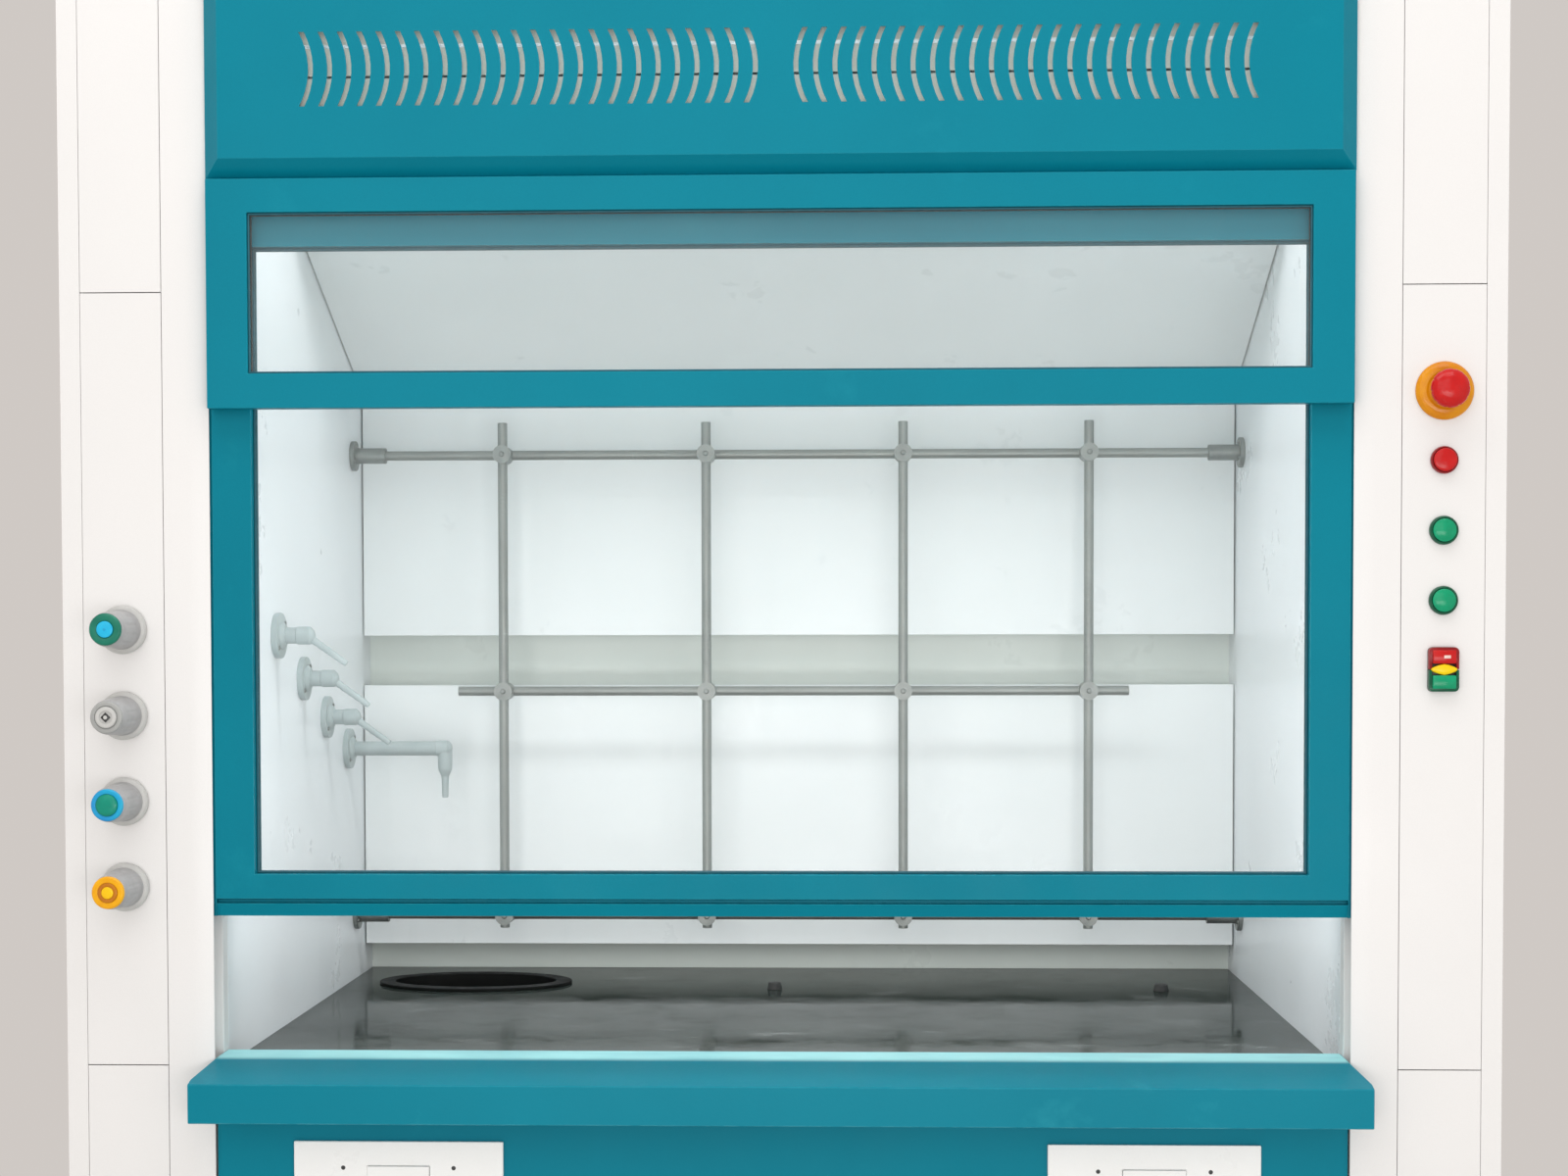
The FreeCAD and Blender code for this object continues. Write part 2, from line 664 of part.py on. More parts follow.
def upper_baffle():
    """Plate that slopes forward from the middle baffle's top edge, then turns straight up."""
    half = BAFFLE_HALF
    rise = (BAFFLE_Y - BAFFLE_FRONT) * math.tan(BAFFLE_SLOPE)
    thick = BAFFLE / math.cos(BAFFLE_SLOPE)
    low = MIDDLE_BAFFLE[1]
    inner_corner = low + rise + thick - BAFFLE * math.tan(BAFFLE_SLOPE)
    outline = [
        (-half, BAFFLE_Y, low),
        (-half, BAFFLE_FRONT, low + rise),
        (-half, BAFFLE_FRONT, BAFFLE_TOP),
        (-half, BAFFLE_FRONT + BAFFLE, BAFFLE_TOP),
        (-half, BAFFLE_FRONT + BAFFLE, inner_corner),
        (-half, BAFFLE_Y, low + thick),
        (-half, BAFFLE_Y + BAFFLE, low + thick),
        (-half, BAFFLE_Y + BAFFLE, low),
    ]
    return prism(outline, (2 * half, 0, 0))


def lamp_housing():
    """Open-bottomed steel box above the ceiling."""
    low = CEILING + LINER
    inner = LAMP_LAP - LAMP_WALL
    outside = block(
        (LAMP_X[0] - LAMP_LAP, LAMP_X[1] + LAMP_LAP),
        (LAMP_Y[0] - LAMP_LAP, LAMP_Y[1] + LAMP_LAP),
        (low, low + LAMP_HEIGHT),
    )
    inside = block(
        (LAMP_X[0] - inner, LAMP_X[1] + inner),
        (LAMP_Y[0] - inner, LAMP_Y[1] + inner),
        (low - CUT, low + LAMP_HEIGHT - SHEET),
    )
    return outside.cut(inside)


def lamp_tube():
    """Glass tube with a metal cap at each end."""
    y = sum(LAMP_Y) / 2
    z = CEILING + LINER + LAMP_HEIGHT / 2
    half = LAMP_X[1] + 5
    return rod((-half, y, z), (half, y, z), LAMP_TUBE_RADIUS)


def lamp_window():
    """Glass pane that drops into the ceiling opening."""
    gap = 0.5
    x = (LAMP_X[0] + gap, LAMP_X[1] - gap)
    y = (LAMP_Y[0] + gap, LAMP_Y[1] - gap)
    return block(x, y, (CEILING, CEILING + LINER))


# ---- worktop, sink, sill and fascia -------------------------------------
def worktop():
    low = WORKTOP_TOP - WORKTOP_THICK
    half = OPENING + LINER
    outline = [
        (-OPENING + 1, WORKTOP_FRONT, low),
        (OPENING - 1, WORKTOP_FRONT, low),
        (OPENING - 1, LINER_FRONT, low),
        (half, LINER_FRONT, low),
        (half, LINER_BACK + LINER, low),
        (-half, LINER_BACK + LINER, low),
        (-half, LINER_FRONT, low),
        (-OPENING + 1, LINER_FRONT, low),
    ]
    slab = prism(outline, (0, 0, WORKTOP_THICK))
    cuts = [ellipse_bar(SINK_X, SINK_Y, SINK_BOWL, low - 1, WORKTOP_TOP + 1)]
    for x, y in PLUGS:
        cuts.append(rod((x, y, low - 1), (x, y, WORKTOP_TOP + 1), PLUG_RADIUS))
    return slab.cut(cuts)


def cup_sink():
    """Oval bowl with a flat rim that rests on the worktop."""
    bottom = WORKTOP_TOP - SINK_DEPTH
    rim_top = WORKTOP_TOP + SINK_RIM_THICK
    bowl = ellipse_bar(SINK_X, SINK_Y, SINK_BOWL, bottom, WORKTOP_TOP)
    rim = ellipse_bar(SINK_X, SINK_Y, SINK_RIM, WORKTOP_TOP, rim_top)
    tail = rod((SINK_X, SINK_Y, bottom - SINK_TAIL), (SINK_X, SINK_Y, bottom), SINK_TAIL_RADIUS)
    inner = (SINK_BOWL[0] - SINK_WALL, SINK_BOWL[1] - SINK_WALL)
    hollow = ellipse_bar(SINK_X, SINK_Y, inner, bottom + SINK_WALL, rim_top + CUT)
    drain_start = (SINK_X, SINK_Y, bottom - SINK_TAIL - CUT)
    drain = rod(drain_start, (SINK_X, SINK_Y, bottom + SINK_WALL + CUT), SINK_DRAIN_RADIUS)
    return joined([bowl, rim, tail]).cut([hollow, drain])


def sink_trap():
    """Bottle trap under the sink, with its outlet through the back panel."""
    top = WORKTOP_TOP - SINK_DEPTH - SINK_TAIL
    shoulder = top - TRAP_NECK
    bottle = rod((SINK_X, SINK_Y, top - TRAP_BOTTOM), (SINK_X, SINK_Y, shoulder), TRAP_RADIUS)
    inlet = rod((SINK_X, SINK_Y, shoulder), (SINK_X, SINK_Y, top), SINK_TAIL_RADIUS)
    outlet = rod((SINK_X, SINK_Y, DRAIN_Z), (SINK_X, DEPTH, DRAIN_Z), DRAIN_RADIUS)
    bore_start = (SINK_X, SINK_Y + TRAP_RADIUS + 6, DRAIN_Z)
    bore = rod(bore_start, (SINK_X, DEPTH + CUT, DRAIN_Z), DRAIN_RADIUS - DRAIN_WALL)
    throat_end = (SINK_X, SINK_Y, top - TRAP_BOTTOM + 30)
    throat = rod(throat_end, (SINK_X, SINK_Y, top + CUT), SINK_DRAIN_RADIUS)
    return joined([bottle, inlet, outlet]).cut([bore, throat])


def worktop_plugs():
    pieces = []
    for x, y in PLUGS:
        seat = (x, y, WORKTOP_TOP)
        shank = rod((x, y, WORKTOP_TOP - PLUG_SHANK), seat, PLUG_RADIUS)
        head = cone(seat, (x, y, WORKTOP_TOP + PLUG_HEAD), PLUG_RADIUS + 3, PLUG_RADIUS + 1)
        pieces.append(joined([shank, head]))
    return pieces


def airfoil_sill():
    """Rounded air sill: solid profile, mitred in plan at both ends."""
    bottom, shoulder, top = SILL_Z
    profile = [
        (-SILL_HALF, SILL_FRONT, bottom),
        (-SILL_HALF, SILL_FRONT, shoulder),
        (-SILL_HALF, -2, top - 1),
        (-SILL_HALF, 20, top),
        (-SILL_HALF, SILL_BACK, top),
        (-SILL_HALF, SILL_BACK, top - SILL_SHEET),
        (-SILL_HALF, 18, top - SILL_SHEET),
        (-SILL_HALF, -4, top - SILL_SHEET - 2),
        (-SILL_HALF, SILL_FRONT + SILL_SHEET, shoulder - 2),
        (-SILL_HALF, SILL_FRONT + SILL_SHEET, bottom + SILL_SHEET),
        (-SILL_HALF, 8, bottom + SILL_SHEET),
        (-SILL_HALF, 8, bottom),
    ]
    sheet = prism(profile, (2 * SILL_HALF, 0, 0))
    inner = OPENING - 0.5
    plan = prism(
        [
            (-SILL_HALF, SILL_FRONT - 1, bottom - 1),
            (-SILL_HALF, SILL_FRONT + 12, bottom - 1),
            (-inner, -2, bottom - 1),
            (-inner, SILL_BACK + 1, bottom - 1),
            (inner, SILL_BACK + 1, bottom - 1),
            (inner, -2, bottom - 1),
            (SILL_HALF, SILL_FRONT + 12, bottom - 1),
            (SILL_HALF, SILL_FRONT - 1, bottom - 1),
        ],
        (0, 0, top - bottom + 2),
    )
    pieces = [sheet.common(plan)]
    rib_profile = [
        (0, SILL_FRONT + 1, bottom + 1),
        (0, SILL_FRONT + 1, shoulder - 1),
        (0, -3, top - 3),
        (0, 8, top - 2),
        (0, 8, bottom + 1),
    ]
    for x in SILL_RIBS:
        rib = prism(rib_profile, (SILL_SHEET, 0, 0))
        rib.translate(Vec(x, 0, 0))
        pieces.append(rib.common(plan))
    return joined(pieces)


def front_fascia():
    """Plain panel between the posts under the sill."""
    half = OPENING - 1
    panel = block((-half, half), (FASCIA_Y, FASCIA_Y + SHEET), (FASCIA_BOTTOM, SILL_Z[0]))
    top_fold = block((-half, half), (FASCIA_Y, FASCIA_Y + FASCIA_FOLD), (SILL_Z[0] - SHEET, SILL_Z[0]))
    return joined([panel, top_fold])


def socket_plates():
    pieces = []
    for centre in SOCKET_X:
        x = (centre - SOCKET_PLATE[0] / 2, centre + SOCKET_PLATE[0] / 2)
        z = (SOCKET_TOP - SOCKET_PLATE[1], SOCKET_TOP)
        plate = block(x, (PLATE_FRONT, FASCIA_Y), z)
        middle = (z[0] + z[1]) / 2
        hole = block(
            (centre - INSERT_HALF, centre + INSERT_HALF),
            (PLATE_FRONT - CUT, FASCIA_Y + CUT),
            (middle - INSERT_HALF, middle + INSERT_HALF),
        )
        pieces.append(plate.cut(hole))
    return pieces


def pin_slot(x, z, half_height, lean):
    """Cutter for one flat contact slot."""
    depth = (INSERT_FRONT - CUT, INSERT_FRONT + PIN_SLOT_DEPTH)
    slot = block((-PIN_SLOT_HALF, PIN_SLOT_HALF), depth, (-half_height, half_height))
    slot.rotate(Vec(0, 0, 0), Vec(0, 1, 0), lean)
    slot.translate(Vec(x, 0, z))
    return slot


def socket_inserts():
    """Five-hole mains inserts: two flat slots above three."""
    pieces = []
    gap = 0.3
    for centre in SOCKET_X:
        middle = SOCKET_TOP - SOCKET_PLATE[1] / 2
        half = INSERT_HALF - gap
        x = (centre - half, centre + half)
        body = block(x, (INSERT_FRONT, FASCIA_Y), (middle - half, middle + half))
        slots = []
        for offset in TWO_PIN_X:
            slots.append(pin_slot(centre + offset, middle + TWO_PIN_RISE, 3.5, 0))
        for offset, rise, lean in THREE_PIN:
            slots.append(pin_slot(centre + offset, middle + rise, 4.0, lean))
        pieces.append(body.cut(slots))
    return pieces


# ---- base cabinet -------------------------------------------------------
def base_cabinet():
    """Open-fronted steel carcass: base pan, plinth, cupboard floor, walls and top rail."""
    half = HALF - SHEET
    inner = OPENING - 1
    front = POST_DEPTH
    back = DEPTH - SHEET
    top = WORKTOP_TOP - WORKTOP_THICK
    plinth = block((-half, half), (front, front + SHEET), (FOOT_HEIGHT, CUPBOARD_FLOOR))
    pan = block((-half, half), (front, back), (FOOT_HEIGHT, FOOT_HEIGHT + CARCASS))
    floor = block((-inner, inner), (CARCASS_FRONT, back), (CUPBOARD_FLOOR, CUPBOARD_FLOOR + CARCASS))
    rear = block((-half, half), (back - SHEET, back), (FOOT_HEIGHT, top))
    rail = block((-inner, inner), (CARCASS_FRONT + 15, front), (top - RAIL_DEPTH, top))
    pieces = [plinth, pan, floor, rear, rail]
    for side in (-1, 1):
        wall = sorted((side * inner, side * (inner - CARCASS)))
        pieces.append(block(wall, (CARCASS_FRONT, back), (CUPBOARD_FLOOR, top)))
        outside = sorted((side * half, side * (half - SHEET)))
        pieces.append(block(outside, (front, back), (FOOT_HEIGHT, top)))
    hole = rod((SINK_X, back - 10, DRAIN_Z), (SINK_X, back + 1, DRAIN_Z), DRAIN_RADIUS)
    return joined(pieces).cut(hole)


def door(side):
    """One cupboard door: a folded pan with a bent pull along its top edge."""
    meet = 1.0
    x = sorted((side * meet, side * (OPENING - 3)))
    panel = block(x, DOOR_Y, DOOR_Z)
    grip_x = sorted((side * (meet + PULL_X[0]), side * (meet + PULL_X[1])))
    low = DOOR_Z[1] - PULL_BAR_DROP[0]
    high = DOOR_Z[1] - PULL_BAR_DROP[1]
    pieces = [block(grip_x, PULL_BAR_Y, (low, high))]
    for start in (grip_x[0] + PULL_LEG, grip_x[1] - 2 * PULL_LEG):
        pieces.append(block((start, start + PULL_LEG), (PULL_BAR_Y[1] - 1, DOOR_Y[0]), (low + 1, high - 1)))
    return [panel, joined(pieces)]


def levelling_feet():
    pieces = []
    for x in (-HALF + 60, HALF - 60):
        for y in (POST_DEPTH + 40, DEPTH - 60):
            pad = cone((x, y, 0), (x, y, FOOT_PAD), FOOT_RADII[0], FOOT_RADII[1])
            stud = rod((x, y, FOOT_PAD), (x, y, FOOT_HEIGHT), FOOT_STUD)
            pieces.append(joined([pad, stud]))
    return pieces


# ---- services -----------------------------------------------------------
def outlet_flanges():
    pieces = []
    face = -OPENING
    for y, z in GAS_OUTLETS + (WATER_OUTLET,):
        disc = rod((face, y, z), (face + FLANGE_THICK, y, z), FLANGE_RADIUS)
        neck = rod((face + FLANGE_THICK, y, z), (face + FLANGE_STAND, y, z), ARM_RADIUS + 2.5)
        pieces.append(joined([disc, neck]))
    return pieces


def hose_tail(length, steps, root, tip):
    """Serrated tail, turned about Z, with its root at the origin and pointing down."""
    points = [Vec(0, 0, 0)]
    pitch = length / steps
    for i in range(steps):
        crest = root - (root - tip) * i / steps
        points.append(Vec(crest, 0, -pitch * i))
        points.append(Vec(crest - SERRATION, 0, -pitch * (i + 1)))
    points.append(Vec(0, 0, -length))
    wire = Part.makePolygon(points + points[:1])
    return Part.Face(wire).revolve(Vec(0, 0, 0), Vec(0, 0, 1), 360)


def arm_with_elbow(y, z, reach):
    """Arm along X from an outlet flange, ending in a rounded elbow block."""
    face = -OPENING + FLANGE_STAND
    wide = ARM_RADIUS + 1
    profile = [
        (0, 0),
        (0, ARM_RADIUS),
        (reach - wide - 1, ARM_RADIUS),
        (reach - wide, wide),
        (reach + wide * 0.4, wide),
        (reach + wide * 0.8, wide * 0.6),
        (reach + wide, 0),
    ]
    points = [Vec(face + along, y, z + radius) for along, radius in profile]
    wire = Part.makePolygon(points + points[:1])
    return Part.Face(wire).revolve(Vec(face, y, z), Vec(1, 0, 0), 360)


def gas_nozzle(y, z):
    """Short arm, elbow and a serrated hose tail that points down and out."""
    arm = arm_with_elbow(y, z, ELBOW_REACH)
    tail = hose_tail(*GAS_TAIL)
    tail.rotate(Vec(0, 0, 0), Vec(0, 1, 0), -NOZZLE_TURN)
    tail.translate(Vec(-OPENING + FLANGE_STAND + ELBOW_REACH, y, z))
    return joined([arm, tail])


def water_spout():
    """Long arm over the cup sink with a downward hose tail."""
    y, z = WATER_OUTLET
    reach = SPOUT_X + OPENING - FLANGE_STAND
    foot = (SPOUT_X, y, z - SPOUT_DROP)
    arm = arm_with_elbow(y, z, reach)
    drop = rod((SPOUT_X, y, z - 2), foot, ARM_RADIUS)
    neck = cone(foot, (SPOUT_X, y, foot[2] - 10), ARM_RADIUS, 5)
    tail = hose_tail(*WATER_TAIL)
    tail.translate(Vec(SPOUT_X, y, foot[2] - 8))
    return joined([arm, drop, neck, tail])


def valve_body(level):
    """Brass block with a bore for the stem."""
    x = -STRIP_CENTRE
    body = block((x - VALVE_HALF, x + VALVE_HALF), VALVE_Y, (level - VALVE_HALF, level + VALVE_HALF))
    bore_end = VALVE_Y[0] + STEM_DEPTH + 2
    bore = rod((x, VALVE_Y[0] - CUT, level), (x, bore_end, level), STEM_RADIUS + RUNNING)
    return body.cut(bore)


def fitting(centre, half):
    """Square compression fitting where two pipes meet."""
    x, y, z = centre
    return block((x - half, x + half), (y - half, y + half), (z - half, z + half))


def supply_pipe(index, outlet):
    """Pipe from a valve to its outlet, and the feed that comes up to the valve."""
    x = -STRIP_CENTRE
    level = KNOB_LEVELS[index]
    y, z = outlet
    riser_y = VALVE_Y[0] + RISER_FIRST + RISER_PITCH * index
    riser_x = x - RISER_SETOUT
    corner = (x, y, z)
    bend = (x, VALVE_Y[1] + PIPE_SETBACK, level)
    nipple = rod((x, VALVE_Y[1], level), bend, NIPPLE_RADIUS)
    union = fitting(bend, NIPPLE_RADIUS + 3)
    run = rod(bend, corner, NIPPLE_RADIUS)
    elbow = fitting(corner, NIPPLE_RADIUS + 3)
    exit_pipe = rod(corner, (-OPENING, y, z), NIPPLE_RADIUS)
    to_outlet = joined([nipple, union, run, elbow, exit_pipe])
    stub = rod((x - VALVE_HALF, riser_y, level), (riser_x, riser_y, level), RISER_RADIUS)
    knee = fitting((riser_x, riser_y, level), RISER_RADIUS + 1)
    foot = (riser_x, riser_y, SERVICE_END)
    riser = rod(foot, (riser_x, riser_y, level), RISER_RADIUS)
    ferrule = rod(foot, (riser_x, riser_y, SERVICE_END + FERRULE), RISER_RADIUS + 1)
    return [to_outlet, joined([stub, knee, riser, ferrule])]


def knob(level):
    """Knob moulded on its stem, and the coloured cap in its face."""
    x = -STRIP_CENTRE
    grip = revolve_y(
        [
            (KNOB_BACK, 0),
            (KNOB_BACK, SKIRT_RADIUS - 3),
            (KNOB_BACK - 2, SKIRT_RADIUS),
            (SKIRT_FRONT, SKIRT_RADIUS),
            (SKIRT_FRONT - 1, GRIP_RADIUS + 1),
            (SKIRT_FRONT - 16, GRIP_RADIUS),
            (GRIP_FRONT + 4, GRIP_RADIUS - 1.5),
            (GRIP_FRONT, GRIP_RADIUS - 4),
            (GRIP_FRONT, 0),
        ],
        x,
        level,
    )
    stem = rod((x, KNOB_BACK, level), (x, VALVE_Y[0] + STEM_DEPTH, level), STEM_RADIUS)
    cap = revolve_y(
        [
            (GRIP_FRONT, 0),
            (GRIP_FRONT, KNOB_CAP_RADIUS),
            (GRIP_FRONT - 4, KNOB_CAP_RADIUS),
            (-KNOB_REACH, KNOB_CAP_RADIUS - 3),
            (-KNOB_REACH, 0),
        ],
        x,
        level,
    )
    return [joined([grip, stem]), cap]


# ---- switches -----------------------------------------------------------
def contact_block(level):
    half_x, half_z = CONTACT_HALF
    x = (STRIP_CENTRE - half_x, STRIP_CENTRE + half_x)
    return block(x, (BARREL_END, CONTACT_END), (level - half_z, level + half_z))


def switch_body(level, rim_radius):
    """Bezel, barrel and contact block of one push-button."""
    x = STRIP_CENTRE
    outside = revolve_y(
        [
            (RIM_FRONT, 0),
            (RIM_FRONT, rim_radius - 1),
            (RIM_FRONT + 1, rim_radius),
            (0, rim_radius),
            (0, BARREL_RADIUS),
            (BARREL_END, BARREL_RADIUS),
            (BARREL_END, 0),
        ],
        x,
        level,
    )
    well = rod((x, RIM_FRONT - CUT, level), (x, WELL_FLOOR, level), BEZEL_BORE)
    bore = rod((x, WELL_FLOOR - CUT, level), (x, BARREL_END, level), PLUNGER_RADIUS + RUNNING)
    return joined([outside, contact_block(level)]).cut([well, bore])


def estop_body():
    x = STRIP_CENTRE
    collar_radius, collar_front = RING_COLLAR
    outside = revolve_y(
        [
            (RING_FRONT, 0),
            (RING_FRONT, RING_RADIUS),
            (0, RING_RADIUS),
            (0, BARREL_RADIUS),
            (BARREL_END, BARREL_RADIUS),
            (BARREL_END, 0),
        ],
        x,
        ESTOP_LEVEL,
    )
    collar = rod((x, collar_front, ESTOP_LEVEL), (x, RING_FRONT, ESTOP_LEVEL), collar_radius)
    bore_start = (x, collar_front - CUT, ESTOP_LEVEL)
    bore = rod(bore_start, (x, BARREL_END, ESTOP_LEVEL), PLUNGER_RADIUS + RUNNING)
    return joined([outside, collar, contact_block(ESTOP_LEVEL)]).cut(bore)


def twin_body():
    """Housing of the double push-button, with two square wells."""
    x = STRIP_CENTRE
    half_x, half_z = TWIN_HALF
    housing = block((x - half_x, x + half_x), (TWIN_FRONT, 0), (TWIN_LEVEL - half_z, TWIN_LEVEL + half_z))
    barrel = rod((x, 0, TWIN_LEVEL), (x, BARREL_END, TWIN_LEVEL), BARREL_RADIUS)
    play = 0.1
    well_half = TWIN_BUTTON_HALF + play
    wells = []
    for offset in TWIN_OFFSETS:
        low = TWIN_LEVEL + offset
        z = (low - play, low + TWIN_BUTTON_HEIGHT + play)
        wells.append(block((x - well_half, x + well_half), (TWIN_FRONT - CUT, -0.5), z))
    return joined([housing, barrel, contact_block(TWIN_LEVEL)]).cut(wells)


def switch_bodies():
    pieces = [estop_body(), switch_body(STOP_LEVEL, STOP_RIM_RADIUS)]
    for level in START_LEVELS:
        pieces.append(switch_body(level, START_RIM_RADIUS))
    pieces.append(twin_body())
    return pieces


def push_button(level):
    """Domed cap on its plunger."""
    x = STRIP_CENTRE
    return revolve_y(
        [
            (-10, 0),
            (-9.6, CAP_RADIUS - 5),
            (-8.2, CAP_RADIUS - 1),
            (-7, CAP_RADIUS),
            (CAP_BACK, CAP_RADIUS),
            (CAP_BACK, PLUNGER_RADIUS),
            (PLUNGER_END, PLUNGER_RADIUS),
            (PLUNGER_END, 0),
        ],
        x,
        level,
    )


def estop_plunger():
    """Plunger with the spigot on which the mushroom head turns."""
    x = STRIP_CENTRE
    shoulder = HEAD_BACK + 0.3
    plunger = rod((x, shoulder, ESTOP_LEVEL), (x, PLUNGER_END, ESTOP_LEVEL), PLUNGER_RADIUS)
    spigot = rod((x, SPIGOT_FRONT, ESTOP_LEVEL), (x, shoulder, ESTOP_LEVEL), STEM_RADIUS)
    return joined([plunger, spigot])


def estop_head():
    """Mushroom head with a turned rim and a bore for the spigot."""
    x = STRIP_CENTRE
    head = revolve_y(
        [
            (HEAD_BACK, 0),
            (HEAD_BACK, 13),
            (-20, 18.5),
            (-24, 20),
            (-28, 19.2),
            (-32, 15),
            (-34.5, 8),
            (-35, 0),
        ],
        x,
        ESTOP_LEVEL,
    )
    bore_end = (x, SPIGOT_FRONT - 0.3, ESTOP_LEVEL)
    return head.cut(rod(bore_end, (x, HEAD_BACK + 0.3, ESTOP_LEVEL), STEM_RADIUS + RUNNING))


def twin_button(low):
    """One half of the double push-button."""
    x = STRIP_CENTRE
    front = TWIN_FRONT - 3
    back = TWIN_FRONT + BUTTON_TRAVEL
    half = TWIN_BUTTON_HALF
    return block((x - half, x + half), (front, back), (low, low + TWIN_BUTTON_HEIGHT))


# ---- lattice ------------------------------------------------------------
def lattice_rods():
    pieces = []
    for x in UPRIGHT_X:
        pieces.append(rod((x, UPRIGHT_Y, UPRIGHT_Z[0]), (x, UPRIGHT_Y, UPRIGHT_Z[1]), ROD_RADIUS))
    for left, right, level in RAILS:
        pieces.append(rod((left, RAIL_Y, level), (right, RAIL_Y, level), ROD_RADIUS))
    return pieces


def lattice_clamps():
    """A round boss at each crossing, bored for both rods."""
    pieces = []
    bore = ROD_RADIUS + ROD_CLEARANCE
    reach = BOSS_RADIUS + CUT
    for _, _, level in RAILS:
        for x in UPRIGHT_X:
            boss = rod((x, UPRIGHT_Y - BOSS_REACH, level), (x, RAIL_Y + BOSS_REACH, level), BOSS_RADIUS)
            up = rod((x, UPRIGHT_Y, level - reach), (x, UPRIGHT_Y, level + reach), bore)
            across = rod((x - reach, RAIL_Y, level), (x + reach, RAIL_Y, level), bore)
            pieces.append(boss.cut([up, across]))
    return pieces


def lattice_flanges():
    """Wall sockets that hold the two long rails."""
    pieces = []
    for level in WALL_RAIL_LEVELS:
        for side in (-1, 1):
            wall = (side * OPENING, RAIL_Y, level)
            face = (side * (OPENING - WALL_DISC[1]), RAIL_Y, level)
            disc = rod(wall, face, WALL_DISC[0])
            sleeve = rod(face, (side * (OPENING - SLEEVE[1]), RAIL_Y, level), SLEEVE[0])
            rod_end = (side * RAILS[0][1], RAIL_Y, level)
            bore_end = (side * (OPENING - SLEEVE[1] - CUT), RAIL_Y, level)
            bore = rod(rod_end, bore_end, ROD_RADIUS + ROD_CLEARANCE)
            pieces.append(joined([disc, sleeve]).cut(bore))
    return pieces


# ---- write the nodes ----------------------------------------------------
def main():
    os.makedirs("parts", exist_ok=True)
    right_post = post()
    save("right_post", [right_post])
    save("left_post", [mirrored(right_post)])
    save("service_strips", service_strips())
    save("side_panels", [side_panel(-1), side_panel(1)])
    save("back_panel", [back_panel()])
    save("roof_panel", [roof_panel()])
    save("exhaust_collar", [exhaust_collar()])
    save("damper_blade", [damper_blade()])
    save("header_panel", [header_panel()])
    save("header_backing", header_backing())
    save("window_frame", [window_frame()])
    save("window_glass", [window_glass()])

    frame = sash_frame()
    pane = sash_glass()
    sash_mass = frame.Volume * ALUMINIUM + pane.Volume * GLASS_DENSITY
    save("sash_frame", [frame])
    save("sash_glass", [pane])
    save("counterweight", [counterweight(sash_mass)])
    save("front_pulleys", pulley_pair(FRONT_PULLEY_Y))
    save("rear_pulleys", pulley_pair(BACK_PULLEY_Y))
    save("pulley_brackets", pulley_brackets())
    save("sash_cables", [sash_cable(-1), sash_cable(1)])

    save("side_liners", [side_liner(-1), side_liner(1)])
    save("back_liner", [back_liner()])
    save("ceiling_liner", [ceiling_liner()])
    save("upper_baffle", [upper_baffle()])
    save("middle_baffle", [flat_baffle(MIDDLE_BAFFLE)])
    save("lower_baffle", [flat_baffle(LOWER_BAFFLE)])
    save("lamp_housing", [lamp_housing()])
    save("lamp_tube", [lamp_tube()])
    save("lamp_window", [lamp_window()])

    save("worktop", [worktop()])
    save("cup_sink", [cup_sink()])
    save("sink_trap", [sink_trap()])
    save("worktop_plugs", worktop_plugs())
    save("airfoil_sill", [airfoil_sill()])
    save("front_fascia", [front_fascia()])
    save("socket_plates", socket_plates())
    save("socket_inserts", socket_inserts())
    save("base_cabinet", [base_cabinet()])
    save("left_door", door(-1))
    save("right_door", door(1))
    save("levelling_feet", levelling_feet())

    outlets = GAS_OUTLETS + (WATER_OUTLET,)
    save("outlet_flanges", outlet_flanges())
    save("gas_nozzles", [gas_nozzle(y, z) for y, z in GAS_OUTLETS])
    save("water_spout", [water_spout()])
    save("valve_bodies", [valve_body(level) for level in KNOB_LEVELS])
    pipes = []
    for index, outlet in enumerate(outlets):
        pipes.extend(supply_pipe(index, outlet))
    save("supply_pipes", pipes)
    for index, level in enumerate(KNOB_LEVELS):
        save("valve_knob_%d" % (index + 1), knob(level))

    save("switch_bodies", switch_bodies())
    save("estop_plunger", [estop_plunger()])
    save("estop_head", [estop_head()])
    save("stop_button", [push_button(STOP_LEVEL)])
    save("upper_start_button", [push_button(START_LEVELS[0])])
    save("lower_start_button", [push_button(START_LEVELS[1])])
    save("twin_red_button", [twin_button(TWIN_LEVEL + 6)])
    save("twin_green_button", [twin_button(TWIN_LEVEL - 20)])

    save("lattice_rods", lattice_rods())
    save("lattice_clamps", lattice_clamps())
    save("lattice_flanges", lattice_flanges())


main()
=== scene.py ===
from math import cos, pi, radians, sin

import bmesh
import bpy
from mathutils import Matrix, Vector


